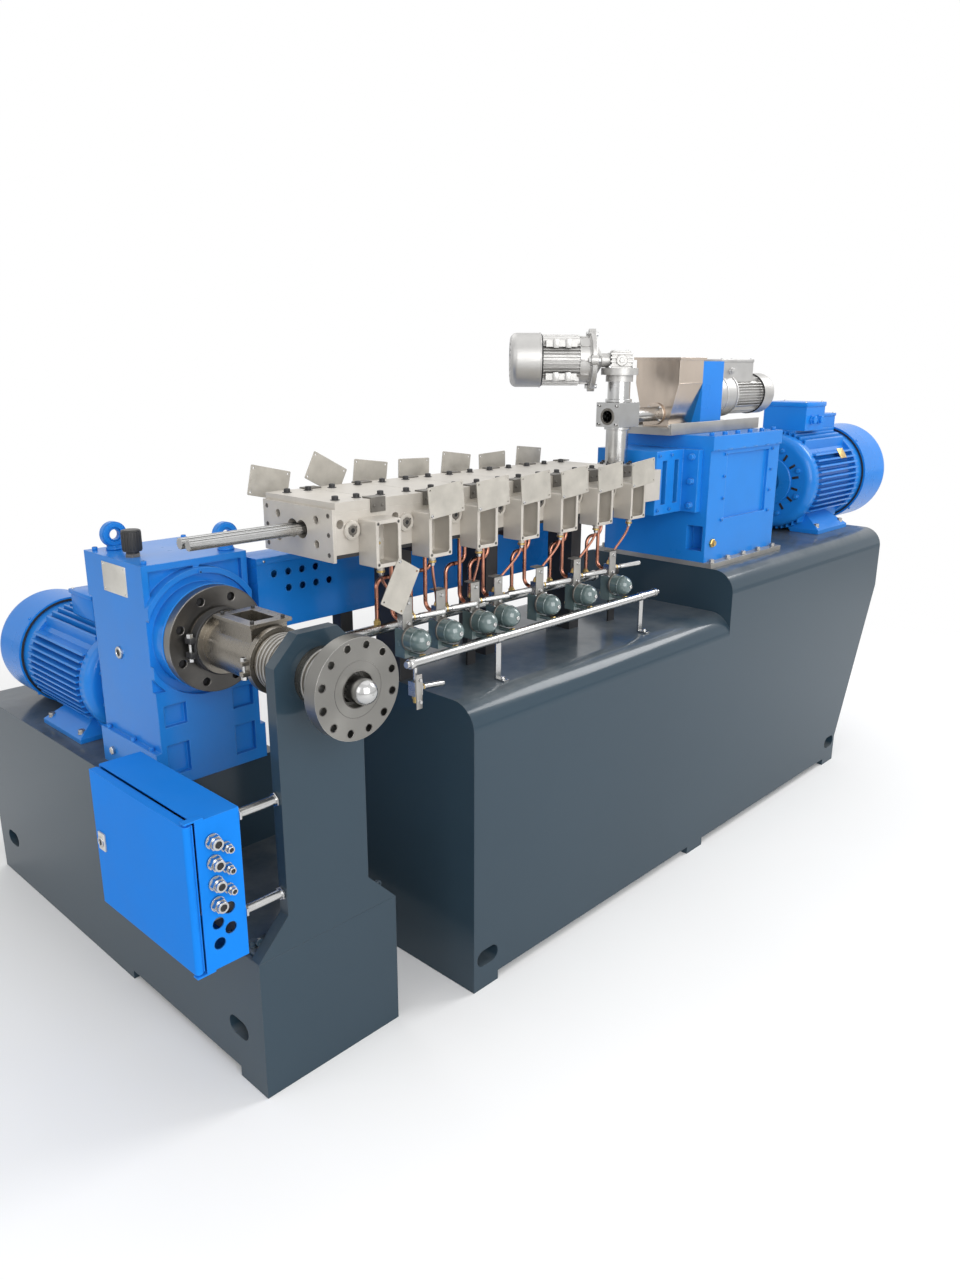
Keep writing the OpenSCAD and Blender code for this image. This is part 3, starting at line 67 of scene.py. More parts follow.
def angles(count, first=0.0):
    """Equal steps round a full turn, in radians, from a first angle in degrees."""
    return [radians(360 / count * k + first) for k in range(count)]


def steps(first, last, count):
    """Evenly spaced values from first to last."""
    return [first + k * (last - first) / (count - 1) for k in range(count)]


# Materials

PATCH_STOPS = (0.15, 0.5, 0.85)
PATCH_SPREAD = 1.4
RELIEF_DEEP = 0.0006
COAT_ROUGH = 0.12


def new_material(name):
    m = bpy.data.materials.new(name)
    m.use_nodes = True
    tree = m.node_tree
    tree.nodes.clear()
    out = tree.nodes.new("ShaderNodeOutputMaterial")
    shader = tree.nodes.new("ShaderNodeBsdfPrincipled")
    tree.links.new(shader.outputs[0], out.inputs[0])
    return m, tree, shader


def node(tree, kind, links=None, **values):
    """Adds a node; values are its settings or, failing that, the values of its sockets."""
    n = tree.nodes.new(kind)
    for key, value in values.items():
        if hasattr(n, key):
            setattr(n, key, value)
        else:
            n.inputs[key.replace("_", " ")].default_value = value
    for socket, source in (links or {}).items():
        tree.links.new(source, n.inputs[socket])
    return n


def ramp(tree, fac, stops):
    n = node(tree, "ShaderNodeValToRGB", {0: fac})
    marks = n.color_ramp.elements
    marks[0].position, marks[0].color = stops[0]
    marks[1].position, marks[1].color = stops[-1]
    for position, colour in stops[1:-1]:
        marks.new(position).color = colour
    return n.outputs[0]


def map_range(tree, value, a, b, c, d):
    """Turns the range a to b into c to d."""
    n = node(tree, "ShaderNodeMapRange", {0: value})
    for i, v in enumerate((a, b, c, d)):
        n.inputs[i + 1].default_value = v
    return n.outputs[0]


def times(tree, a, b):
    return node(tree, "ShaderNodeMath", {0: a, 1: b}, operation="MULTIPLY").outputs[0]


def mix(tree, fac, tone, colour):
    n = node(tree, "ShaderNodeMix", data_type="RGBA")
    tree.links.new(fac, n.inputs[0])
    tree.links.new(tone, n.inputs[6])
    n.inputs[7].default_value = colour
    return n.outputs[2]


def shade(colour, factor):
    return tuple(min(1.0, c * factor) for c in colour) + (1.0,)


def surface(
    name, colour, metallic=0.0, rough=0.4, spread=0.08, tint=0.12, patch=9, grain=260, bump=0.08, coat=0.0,
    gloss=0.5, edge=0.002, wear_and_edge_highlight=None, wear_and_edge_highlight_amount=0.8, dust=0.0, dust_colour=(0.55, 0.53, 0.49), stretch=None, rings=None,
    lathe=0.0,
):
    """Painted or bare metal: patchy colour, rims changed in patches (wear, and where lighter a painted edge
    highlight), dust on level faces, fine grain or brushing.
    """
    m, tree, shader = new_material(name)
    place = node(tree, "ShaderNodeTexCoord").outputs["Object"]
    patches = node(tree, "ShaderNodeTexNoise", {"Vector": place}, Scale=patch, Detail=5.0, Roughness=0.6)
    tones = (1 - PATCH_SPREAD * tint, 1.0, 1 + PATCH_SPREAD * tint)
    tone = ramp(tree, patches.outputs[0], [(at, shade(colour, t)) for at, t in zip(PATCH_STOPS, tones)])
    fine_place = place
    if stretch:
        fine_place = node(tree, "ShaderNodeMapping", {"Vector": place}, Scale=stretch).outputs[0]
    fine = node(tree, "ShaderNodeTexNoise", {"Vector": fine_place}, Scale=grain, Detail=3.0, Roughness=0.55)
    height = fine.outputs[0]
    if rings:
        middle, axis = rings
        shift = tuple(-c for c in middle)
        centred = node(tree, "ShaderNodeMapping", {"Vector": place}, Location=shift).outputs[0]
        wave = node(
            tree, "ShaderNodeTexWave", {"Vector": centred},
            wave_type="RINGS", rings_direction=axis, Scale=95.0, Distortion=0.6, Detail=2.0,
        )
        height = times(tree, fine.outputs[0], wave.outputs[1])
    roundness = node(tree, "ShaderNodeBevel", samples=4, Radius=edge)
    normal = node(tree, "ShaderNodeNewGeometry").outputs["Normal"]
    # Rims take the wear colour in patches: where that colour is lighter than the surface it is a painted edge
    # highlight as well as wear; where darker, wear.
    if wear_and_edge_highlight:
        turn = node(tree, "ShaderNodeVectorMath", {0: roundness.outputs[0], 1: normal}, operation="DOT_PRODUCT")
        rim = map_range(tree, turn.outputs[1], 0.985, 0.82, 0.0, 1.0)
        rim_wear_and_highlight = map_range(tree, patches.outputs[0], 0.42, 0.66, 0.0, wear_and_edge_highlight_amount)
        tone = mix(tree, times(tree, rim, rim_wear_and_highlight), tone, shade(wear_and_edge_highlight, 1.0))
    smoothest, roughest = max(0.02, rough - spread), min(1.0, rough + spread)
    if stretch:
        brushed = times(tree, patches.outputs[0], height)
        roughness = map_range(tree, brushed, 0.1, 0.4, smoothest, roughest)
    else:
        roughness = map_range(tree, patches.outputs[0], 0.3, 0.7, smoothest, roughest)
    if dust:
        up = node(tree, "ShaderNodeSeparateXYZ", {0: normal}).outputs[2]
        level = map_range(tree, up, 0.55, 0.98, 0.0, dust)
        settled = node(tree, "ShaderNodeTexNoise", {"Vector": place}, Scale=5.0, Detail=6.0, Roughness=0.65)
        amount = times(tree, level, map_range(tree, settled.outputs[0], 0.35, 0.7, 0.15, 1.0))
        tone = mix(tree, amount, tone, shade(dust_colour, 1.0))
    links = {"Height": height, "Normal": roundness.outputs[0]}
    relief = node(tree, "ShaderNodeBump", links, Strength=bump, Distance=RELIEF_DEEP)
    tree.links.new(tone, shader.inputs["Base Color"])
    tree.links.new(roughness, shader.inputs["Roughness"])
    tree.links.new(relief.outputs[0], shader.inputs["Normal"])
    shader.inputs["Metallic"].default_value = metallic
    shader.inputs["Specular IOR Level"].default_value = gloss
    shader.inputs["Coat Weight"].default_value = coat
    shader.inputs["Coat Roughness"].default_value = COAT_ROUGH
    if lathe:
        sheen = node(tree, "ShaderNodeTangent", direction_type="RADIAL", axis="Y")
        tree.links.new(sheen.outputs[0], shader.inputs["Tangent"])
        shader.inputs["Anisotropic"].default_value = lathe
    return m


# Each wear colour is the colour the rims take: where it is lighter than the surface it paints an edge highlight as
# well as wear; where darker, as on the covers, nameplate and chrome, it is wear.
SLATE = surface(
    "slate_enamel", (0.027, 0.049, 0.069), rough=0.3, spread=0.02, tint=0.05, patch=1.2, grain=150,
    bump=0.02, coat=0.5, gloss=0.05, edge=0.003, wear_and_edge_highlight=(0.13, 0.15, 0.17), wear_and_edge_highlight_amount=0.6,
    dust=0.42, dust_colour=(0.27, 0.28, 0.28),
)
BLUE = surface(
    "blue_enamel", (0.01, 0.195, 0.64), rough=0.3, tint=0.08, patch=3, grain=380,
    bump=0.04, coat=0.2, gloss=0.12, wear_and_edge_highlight=(0.16, 0.42, 0.82), wear_and_edge_highlight_amount=0.7,
    dust=0.1, dust_colour=(0.24, 0.36, 0.56),
)
BLUE_CAST = surface(
    "blue_cast_enamel", (0.012, 0.195, 0.62), rough=0.34, tint=0.07, patch=5, grain=120,
    bump=0.24, coat=0.3, gloss=0.15, edge=0.004, wear_and_edge_highlight=(0.14, 0.4, 0.84),
    dust=0.12, dust_colour=(0.22, 0.34, 0.54),
)
POWDER = surface(
    "blue_powder_coat", (0.01, 0.2, 0.7), rough=0.42, tint=0.05, patch=3, grain=420,
    bump=0.05, gloss=0.03, wear_and_edge_highlight=(0.16, 0.42, 0.82), wear_and_edge_highlight_amount=0.6,
    dust=0.06, dust_colour=(0.2, 0.34, 0.56),
)
NICKEL = surface(
    "satin_nickel", (0.52, 0.488, 0.44), metallic=0.35, rough=0.4, spread=0.1, tint=0.09, patch=14,
    grain=60, bump=0.05, edge=0.0012, wear_and_edge_highlight=(0.82, 0.8, 0.75), stretch=(0.35, 9.0, 9.0),
)
COVER = surface(
    "stamped_nickel", (0.475, 0.45, 0.402), metallic=0.5, rough=0.42, spread=0.1, tint=0.12, patch=26,
    grain=90, bump=0.04, edge=0.0008, wear_and_edge_highlight=(0.3, 0.28, 0.25), stretch=(1.0, 6.0, 1.0),
)
CHROME = surface(
    "bright_chrome", (0.52, 0.52, 0.515), metallic=1.0, rough=0.24, spread=0.06, tint=0.06, patch=18,
    grain=140, bump=0.02, edge=0.0006, wear_and_edge_highlight=(0.45, 0.44, 0.42), wear_and_edge_highlight_amount=0.4,
)
STAINLESS = surface(
    "brushed_stainless", (0.59, 0.505, 0.43), metallic=1.0, rough=0.2, spread=0.06, tint=0.1, patch=6,
    grain=70, bump=0.012, edge=0.001, wear_and_edge_highlight=(0.86, 0.84, 0.8), stretch=(1.0, 1.0, 0.05),
)
COPPER = surface(
    "drawn_copper", (0.52, 0.235, 0.16), metallic=1.0, rough=0.3, spread=0.1, tint=0.22, patch=30,
    grain=160, bump=0.03, edge=0.0005,
)
CAST = surface(
    "cast_aluminium", (0.475, 0.468, 0.455), metallic=0.7, rough=0.42, spread=0.09, tint=0.1, patch=12,
    grain=220, bump=0.22, edge=0.0012, wear_and_edge_highlight=(0.8, 0.79, 0.77), wear_and_edge_highlight_amount=0.7,
    dust=0.15, dust_colour=(0.5, 0.48, 0.44),
)
DARK = surface(
    "black_oxide", (0.03, 0.03, 0.032), metallic=0.3, rough=0.46, spread=0.1, tint=0.25, patch=16,
    grain=240, bump=0.1, edge=0.001, wear_and_edge_highlight=(0.18, 0.17, 0.16), wear_and_edge_highlight_amount=0.7, dust=0.12,
)
STRAP = surface(
    "dull_strap_steel", (0.15, 0.14, 0.125), metallic=0.6, rough=0.48, tint=0.2, patch=40,
    grain=120, bump=0.08, edge=0.0008, wear_and_edge_highlight=(0.45, 0.43, 0.4), stretch=(1.0, 8.0, 8.0),
)
ENAMEL = surface(
    "grey_green_enamel", (0.105, 0.15, 0.15), rough=0.2, tint=0.14, patch=22,
    grain=300, bump=0.05, coat=0.7, edge=0.0012, wear_and_edge_highlight=(0.3, 0.36, 0.36), wear_and_edge_highlight_amount=0.6,
)
RAW = surface(
    "ground_steel", (0.36, 0.35, 0.33), metallic=0.7, rough=0.44, spread=0.12, tint=0.18, patch=10,
    grain=50, bump=0.06, edge=0.001, wear_and_edge_highlight=(0.7, 0.68, 0.65), dust=0.12, stretch=(0.5, 8.0, 8.0),
)
PLASTIC = surface(
    "black_plastic", (0.018, 0.018, 0.019), rough=0.52, tint=0.2, patch=30,
    grain=700, bump=0.2, edge=0.0015, wear_and_edge_highlight=(0.06, 0.06, 0.06), wear_and_edge_highlight_amount=0.5, dust=0.1,
)
# Near-black painted shade: thin discs, rings and slabs in this colour stand for the shade inside holes, sockets,
# slots, seams and recesses.
HOLLOW_SHADE = surface(
    "painted_hollow_shade", (0.008, 0.008, 0.009), rough=0.62, tint=0.3, patch=50, grain=300, bump=0.1, edge=0.0003
)
BRASS = surface(
    "dull_brass", (0.56, 0.4, 0.15), metallic=0.9, rough=0.36, spread=0.1, tint=0.18, patch=40,
    grain=180, bump=0.05, edge=0.0006, wear_and_edge_highlight=(0.78, 0.64, 0.36), wear_and_edge_highlight_amount=0.6,
)
CERAMIC = surface(
    "moulded_terminal", (0.46, 0.45, 0.41), rough=0.5, tint=0.08, patch=60, grain=500, bump=0.06, edge=0.0006
)
PLATE = surface(
    "bare_nameplate", (0.64, 0.62, 0.57), metallic=0.6, rough=0.38, tint=0.1, patch=20,
    grain=90, bump=0.04, edge=0.0006, wear_and_edge_highlight=(0.3, 0.28, 0.26), wear_and_edge_highlight_amount=0.6, stretch=(1.0, 0.06, 1.0),
)
RUBBER = surface(
    "grey_gasket", (0.055, 0.055, 0.057), rough=0.75, tint=0.15, patch=40, grain=600, bump=0.15, edge=0.0006
)
FLANGE = surface(
    "turned_flange", (0.225, 0.22, 0.206), metallic=0.95, rough=0.36, spread=0.07, tint=0.08, patch=9,
    grain=120, bump=0.1, edge=0.0016, wear_and_edge_highlight=(0.86, 0.84, 0.8), wear_and_edge_highlight_amount=0.9,
    rings=(middle_of("front_flange"), "Y"), lathe=0.75,
)
# The front flange's turned steel, darker: painted shade on the rear flange and on the chamfer rings of the front
# flange.
FLANGE_IN_SHADE = surface(
    "flange_steel_painted_shade", (0.13, 0.124, 0.116), metallic=0.95, rough=0.36, spread=0.1, tint=0.3, patch=7,
    grain=120, bump=0.1, edge=0.003, wear_and_edge_highlight=(0.7, 0.67, 0.62), wear_and_edge_highlight_amount=1.0,
    rings=(middle_of("rear_flange"), "Y"), lathe=0.75,
)
TURNED = surface(
    "turned_barrel", (0.26, 0.238, 0.205), metallic=0.92, rough=0.3, spread=0.09, tint=0.16, patch=8,
    grain=40, bump=0.06, edge=0.0012, wear_and_edge_highlight=(0.78, 0.75, 0.7), stretch=(1.0, 14.0, 1.0),
)

SECTIONS = ["barrel_section_%d" % i for i in range(1, 9)]
LOOKS = {
    SLATE: ["twin_base", "second_base", "column"],
    BLUE: ["wiring_duct", "drive_motor_boxes", "feeder_drive_plate", "drive_motor_cowl", "second_motor_cowl"],
    POWDER: ["junction_box", "junction_box_door"],
    BLUE_CAST: ["lantern", "twin_gearbox", "drive_motor", "second_gearbox", "lifting_eyes", "second_motor"],
    NICKEL: ["discharge_plate", "top_heating_plates", "front_terminal_boxes", "rear_terminal_boxes"] + SECTIONS,
    COVER: ["front_box_covers", "rear_box_covers"],
    CHROME: [
        "screw_shaft_front", "screw_shaft_rear", "cooling_rail", "rail_brackets", "rear_header", "valve_handles",
        "stuffer_pipe", "feeder_tube", "second_screw", "box_rods", "cable_glands",
    ],
    STAINLESS: ["feeder_hopper"],
    COPPER: ["copper_pipes"],
    CAST: ["feeder_motor", "stuffer_gearbox", "stuffer_motor"],
    DARK: ["bottom_heating_plates", "barrel_supports", "header_brackets", "duct_legs", "shaft_coupling"],
    STRAP: ["joint_straps"],
    ENAMEL: ["solenoid_valves"],
    RAW: ["gearbox_sole", "feeder_shelf"],
    PLASTIC: ["breather_cap"],
    FLANGE: ["front_flange"],
    FLANGE_IN_SHADE: ["rear_flange"],
    TURNED: ["second_barrel"],
}
for look, names in LOOKS.items():
    for name in names:
        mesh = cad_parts[name].data
        mesh.materials.clear()
        mesh.materials.append(look)


# Mesh building

UP, DOWN = Vector((0, 0, 1)), Vector((0, 0, -1))
LEFT, RIGHT = Vector((-1, 0, 0)), Vector((1, 0, 0))
NEAR, FAR = Vector((0, -1, 0)), Vector((0, 1, 0))
SHARP = radians(34)


class Detail:
    """Builds one piece after another from turned, boxed and swept forms given in millimetres."""

    def __init__(self):
        self.clear()

    def clear(self):
        self.bm = bmesh.new()
        self.looks = []

    def index(self, look):
        if look not in self.looks:
            self.looks.append(look)
        return self.looks.index(look)

    def circle(self, place, turn, r, h, sides, spin=0.0):
        """Vertices round an axis, at radius r and height h."""
        return [
            self.bm.verts.new(place + turn @ Vector((r * cos(a), r * sin(a), h)) / 1000)
            for a in [spin + 2 * pi * k / sides for k in range(sides)]
        ]

    def skin(self, a, b, i):
        """Faces between two rows of vertices."""
        for k in range(len(a)):
            n = (k + 1) % len(a)
            self.bm.faces.new([a[k], a[n], b[n], b[k]]).material_index = i

    def turned(self, place, axis, profile, look, sides=20, spin=0.0):
        """Revolves (radius, height) points about an axis through place."""
        turn = UP.rotation_difference(axis).to_matrix()
        rows = []
        for r, h in profile:
            if r == 0:
                rows.append([self.bm.verts.new(place + turn @ Vector((0, 0, h / 1000)))])
            else:
                rows.append(self.circle(place, turn, r, h, sides, spin))
        i = self.index(look)
        for a, b in zip(rows, rows[1:]):
            for k in range(sides):
                n = (k + 1) % sides
                corners = [a[k % len(a)], a[n % len(a)], b[n % len(b)], b[k % len(b)]]
                kept = [c for j, c in enumerate(corners) if c not in corners[:j]]
                if len(kept) > 2:
                    self.bm.faces.new(kept).material_index = i
        for row, order in ((rows[0], -1), (rows[-1], 1)):
            if len(row) > 1:
                self.bm.faces.new(row[::order]).material_index = i

    def nut(self, place, axis, profile, look=CHROME):
        self.turned(place, axis, profile, look, sides=6)

    def ring(self, place, axis, inner, outer, length, look, sides=28, edge=0.6):
        """Ring about an axis, with broken edges."""
        turn = UP.rotation_difference(axis).to_matrix()
        section = [
            (inner, 0), (outer - edge, 0), (outer, edge),
            (outer, length - edge), (outer - edge, length), (inner, length),
        ]
        rows = [self.circle(place, turn, r, h, sides) for r, h in section]
        i = self.index(look)
        for a, b in zip(rows, rows[1:] + rows[:1]):
            self.skin(a, b, i)

    def block(self, lo, hi, look, edge=1.0, turn=None):
        """Box between two corners with broken edges, turned about its middle if asked."""
        made = bmesh.ops.create_cube(self.bm, size=1.0)["verts"]
        size = hi - lo
        bmesh.ops.scale(self.bm, vec=size, verts=made)
        if turn:
            bmesh.ops.rotate(self.bm, cent=(0, 0, 0), matrix=turn, verts=made)
        bmesh.ops.translate(self.bm, vec=(lo + hi) / 2, verts=made)
        edges = list(dict.fromkeys(e for v in made for e in v.link_edges))
        i = self.index(look)
        for f in {f for v in made for f in v.link_faces}:
            f.material_index = i
        width = min(edge / 1000, min(size) * 0.3)
        bmesh.ops.bevel(self.bm, geom=edges, offset=width, segments=2, profile=0.5, affect="EDGES", material=-1)

    def tube(self, points, radius, look, sides=10, closed=False):
        """Sweeps a round section along points."""
        i = self.index(look)
        rows = []
        count = len(points)
        side = None
        for k, p in enumerate(points):
            if closed:
                ahead = points[(k + 1) % count] - points[k - 1]
            else:
                ahead = points[min(k + 1, count - 1)] - points[max(k - 1, 0)]
            ahead.normalize()
            if side is None:
                side = ahead.orthogonal().normalized()
            side = (side - ahead * side.dot(ahead)).normalized()
            other = ahead.cross(side)
            turns = [2 * pi * j / sides for j in range(sides)]
            rows.append([self.bm.verts.new(p + (side * cos(a) + other * sin(a)) * radius / 1000) for a in turns])
        for a, b in zip(rows, rows[1:] + (rows[:1] if closed else [])):
            self.skin(a, b, i)
        if not closed:
            self.bm.faces.new(rows[0][::-1]).material_index = i
            self.bm.faces.new(rows[-1]).material_index = i

    def hex_bolt(self, place, axis, across, look=CHROME, washer=True, spin=0.3):
        """Hexagon head with a chamfered top, on a washer."""
        r = across / sqrt(3)
        base = 0.0
        if washer:
            base = 0.16 * across
            self.ring(place, axis, 0.3 * across, 1.1 * r, base, look, sides=18, edge=0.05 * across)
        top = base + 0.62 * across
        profile = [(r, base), (r, top - 0.1 * across), (0.86 * r, top), (0, top)]
        self.turned(place, axis, profile, look, sides=6, spin=spin)

    def socket_screw(self, place, axis, d, look=DARK):
        """Cap screw with a broken edge and a shallow sunk socket, its depth a near-black hexagon of painted shade.
        """
        r = d / 2
        h = 0.62 * d
        profile = [(r, 0), (r, 0.86 * h), (0.88 * r, h), (0.56 * r, h), (0.52 * r, 0.9 * h)]
        self.turned(place, axis, profile, look, sides=18)
        socket = [(0.5 * r, -0.2), (0.5 * r, 0.05 * h), (0, 0.02 * h)]
        self.turned(place + axis * (0.9 * h / 1000), axis, socket, HOLLOW_SHADE, sides=6)

    def pan_screw(self, place, axis, d, look=CHROME):
        """Low domed head with a cross recess painted as a near-black square of shade."""
        r = d / 2
        dome = [(r, 0), (r, 0.14 * d), (0.8 * r, 0.3 * d), (0.4 * r, 0.38 * d), (0, 0.4 * d)]
        self.turned(place, axis, dome, look, sides=14)
        recess = [(0.28 * r, 0), (0.26 * r, 0.05 * d), (0, 0.05 * d)]
        self.turned(place + axis * (0.38 * d / 1000), axis, recess, HOLLOW_SHADE, sides=4)

    def piece(self, name, body="machine"):
        """Makes the object, on a body of the frame, and starts afresh."""
        bmesh.ops.recalc_face_normals(self.bm, faces=self.bm.faces[:])
        mesh = bpy.data.meshes.new(name)
        self.bm.to_mesh(mesh)
        self.bm.free()
        for look in self.looks:
            mesh.materials.append(look)
        mesh.polygons.foreach_set("use_smooth", [True] * len(mesh.polygons))
        mesh.set_sharp_from_angle(angle=SHARP)
        obj = bpy.data.objects.new(name, mesh)
        scene.collection.objects.link(obj)
        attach(obj, body)
        self.clear()


d = Detail()


# Main lines of the machine, read from the solids

plate_lo, plate_hi = span("discharge_plate")
section_lo, section_hi = span("barrel_section_1")
MID_Y = (plate_lo.y + plate_hi.y) / 2
SIDE = plate_lo.y
FAR_SIDE = plate_hi.y
AXIS = (section_lo.z + section_hi.z) / 2
HEATED = [span(name) for name in SECTIONS[:7]]
TOP = span("top_heating_plates")[1].z
UNDER = span("bottom_heating_plates")[0].z
BOX_X = [hi.x - 21 for lo, hi in HEATED]
BOX_H = 104
boxes_lo, boxes_hi = span("front_terminal_boxes")
rear_hi = span("rear_terminal_boxes")[1]
REAR_ON = 25
STATION_ON = (73, 24, -15, -87, -81, -77, -68)
STATION = [hi.x + on for (lo, hi), on in zip(HEATED, STATION_ON)]
rail_lo, rail_hi = span("cooling_rail")
RAIL_Y = (rail_lo.y + rail_hi.y) / 2
RAIL_Z = (rail_lo.z + rail_hi.z) / 2
header_lo, header_hi = span("rear_header")
HEADER_Y = (header_lo.y + header_hi.y) / 2
HEADER_Z = (header_lo.z + header_hi.z) / 2
VALVE_Y = RAIL_Y + 62
BALL_Y = VALVE_Y + 17
BALL_Z = RAIL_Z + 60.2
BALL_H = 35
COIL_Z = RAIL_Z + 37.8
# Axis of the second stage
flange_lo, flange_hi = span("front_flange")
X2 = (flange_lo.x + flange_hi.x) / 2
Z2 = (flange_lo.z + flange_hi.z) / 2


def round_x(x, r, a, z):
    """Place on a circle about an axis along X in the machine's middle."""
    return T(x, MID_Y + r * cos(a), z + r * sin(a))


def round_y(y, r, a, z):
    """Place on a circle about an axis along Y in the second stage's middle."""
    return T(X2 + r * cos(a), y, z + r * sin(a))


# Twin barrel

TOP_SCREW_IN = 40
for (lo, hi), part, y in product(HEATED, (0.27, 0.77), (SIDE + TOP_SCREW_IN, FAR_SIDE - TOP_SCREW_IN)):
    x = lo.x + part * (hi.x - lo.x)
    # Near-black ring round each screw head: painted shade in its counterbore.
    d.ring(T(x, y, TOP - 0.2), UP, 7.6, 11, 0.9, HOLLOW_SHADE, sides=22, edge=0.2)
    d.socket_screw(T(x, y, TOP), UP, 15)
d.piece("top_plate_screws")

for y, z in product((-114, 114), (40, -2, -46)):
    d.ring(T(plate_lo.x + 0.2, MID_Y + y, AXIS + z), LEFT, 2.4, 5.4, 0.9, STRAP, sides=18, edge=0.3)
    # Near-black disc in each hole: painted shade.
    d.turned(T(plate_lo.x + 0.3, MID_Y + y, AXIS + z), LEFT, [(2.6, 0), (2.4, 0.3), (0, 0.3)], HOLLOW_SHADE, sides=14)
for y, z in product((-71, 71), (-27, 27)):
    d.ring(T(plate_lo.x, MID_Y + y, AXIS + z), LEFT, 9.0, 10.6, 0.5, NICKEL, edge=0.25)
d.piece("discharge_plate_screws")

PLUG = [(11.5, 0), (11.5, 1.2), (10.5, 2.0), (6.4, 2.0), (6.0, 1.2), (0, 1.2)]
PIN_R = 12.9
for x, (y, axis) in product(BOX_X, ((SIDE - 8, NEAR), (FAR_SIDE + 8, FAR))):
    p = T(x - 58, y, AXIS + 5.9)
    d.ring(p, axis, 14, 19, 1.6, NICKEL, sides=36)
    d.turned(p, axis, PLUG, STRAP, sides=28)
    # Near-black hexagon and pin holes in the plug: painted shade in its recesses.
    d.nut(p + axis * 1.3 * MM, axis, [(5.6, 0), (5.4, 0.3), (0, 0.3)], HOLLOW_SHADE)
    for a in angles(3, 30):
        q = p + Vector((PIN_R * cos(a), 0, PIN_R * sin(a))) / 1000
        d.turned(q, axis, [(1.5, 0), (1.4, 1.3), (0, 1.3)], HOLLOW_SHADE, sides=10)
d.piece("barrel_plug_faces")

for (lo, hi), (y, axis, z) in product(HEATED, ((SIDE - 3, NEAR, TOP - 16), (FAR_SIDE + 3, FAR, TOP - 4))):
    d.pan_screw(T(hi.x - 12, y, z), axis, 7, STRAP)
    d.pan_screw(T(hi.x + 12, y, z), axis, 7, STRAP)
d.piece("strap_screws")


# Terminal boxes

def box_fittings(x, face_y, back, top, held):
    """Screw holes of the lip, the gland below and the sockets inside one terminal box."""
    low = top - BOX_H
    out = NEAR if back > 0 else FAR
    for sx, z in product((-29, 29), (low + 7, top - 7)):
        p = T(x + sx, face_y, z)
        if (sx < 0, z > low + 50) == held:
            d.pan_screw(p + out * 2.6 * MM, out, 8)
        else:
            d.ring(p, out, 2.2, 3.8, 0.5, STRAP, sides=14, edge=0.2)
            # Near-black disc in each empty screw hole: painted shade.
            d.turned(p, out, [(2.3, 0), (2.1, 0.25), (0, 0.25)], HOLLOW_SHADE, sides=12)
    gland = T(x, face_y + back * 30, low)
    d.nut(gland, DOWN, [(11.5, 0), (11.5, 5.5), (10.5, 6.5), (8.4, 6.5)])
    d.ring(gland + DOWN * 12.5 * MM, DOWN, 8.05, 9.6, 5.0, BRASS, sides=20)
    inside = T(x, face_y + back * 55.9, low + 46)
    deep = -back * 12
    socket_lo = inside + Vector((-15, min(0, deep), -12)) / 1000
    socket_hi = inside + Vector((15, max(0, deep), 12)) / 1000
    d.block(socket_lo, socket_hi, CERAMIC, edge=1.2)
    for sx in (-8, 8):
        q = inside + mm(sx, deep, 0)
        d.nut(q, out, [(3.6, 0), (3.6, 3.0), (2.8, 4.0), (0, 4.0)], BRASS)


# The first front cover hangs from its right lower screw, all others from the left upper one
for i, x in enumerate(BOX_X):
    box_fittings(x, boxes_lo.y, 1, boxes_hi.z, (False, False) if i == 0 else (True, True))
d.piece("front_box_fittings")
for x in BOX_X:
    box_fittings(x + REAR_ON, rear_hi.y, -1, rear_hi.z, (True, True))
d.piece("rear_box_fittings")

LEAD_STEPS = 14
for x, s in zip(BOX_X, STATION):
    start = T(x, boxes_lo.y + 30, boxes_lo.z)
    end = T(s - 5, BALL_Y, BALL_Z + BALL_H)
    run = end - start
    points = []
    for k in range(LEAD_STEPS + 1):
        u = k / LEAD_STEPS
        ease = u * u * (3 - 2 * u)
        points.append(start + Vector((run.x * ease, run.y * ease, run.z * u)))
    d.tube(points, 3.4, COPPER)
    d.nut(end, UP, [(6.5, 0), (6.5, 6), (5.4, 7.5), (3.6, 12)], BRASS)
    d.turned(start + DOWN * MM, DOWN, [(6.0, 0), (6.0, 3), (4.4, 7)], CHROME, sides=16)
d.piece("copper_leads")


# Cooling line

def leaning(tilt, yaw):
    """Direction tilted from upright, turned about the upright."""
    tilt, yaw = radians(tilt), radians(yaw)
    return Vector((sin(tilt) * cos(yaw), sin(tilt) * sin(yaw), cos(tilt)))


HANDLE = leaning(84, -28)
DRAIN = leaning(96, 0)
HANDLE_L, DRAIN_L = 100, 90
GRIP_L = 66
GRIP = [(5.8, 0), (7.2, 1.2), (7.2, 62), (6.6, 64.5), (4.4, 66.5), (0, 67)]


def handle_fittings(root, axis, reach):
    """Gland nut, thin nut and grip along one valve handle."""
    d.nut(root + axis * 12.5 * MM, axis, [(8.6, 0), (8.6, 6.5), (7.6, 8.0), (6, 8.0)])
    d.nut(root + axis * 22 * MM, axis, [(7.4, 0), (7.4, 3.6), (6, 4.4)], BRASS)
    d.turned(root + axis * (reach - GRIP_L) / 1000, axis, GRIP, CHROME)


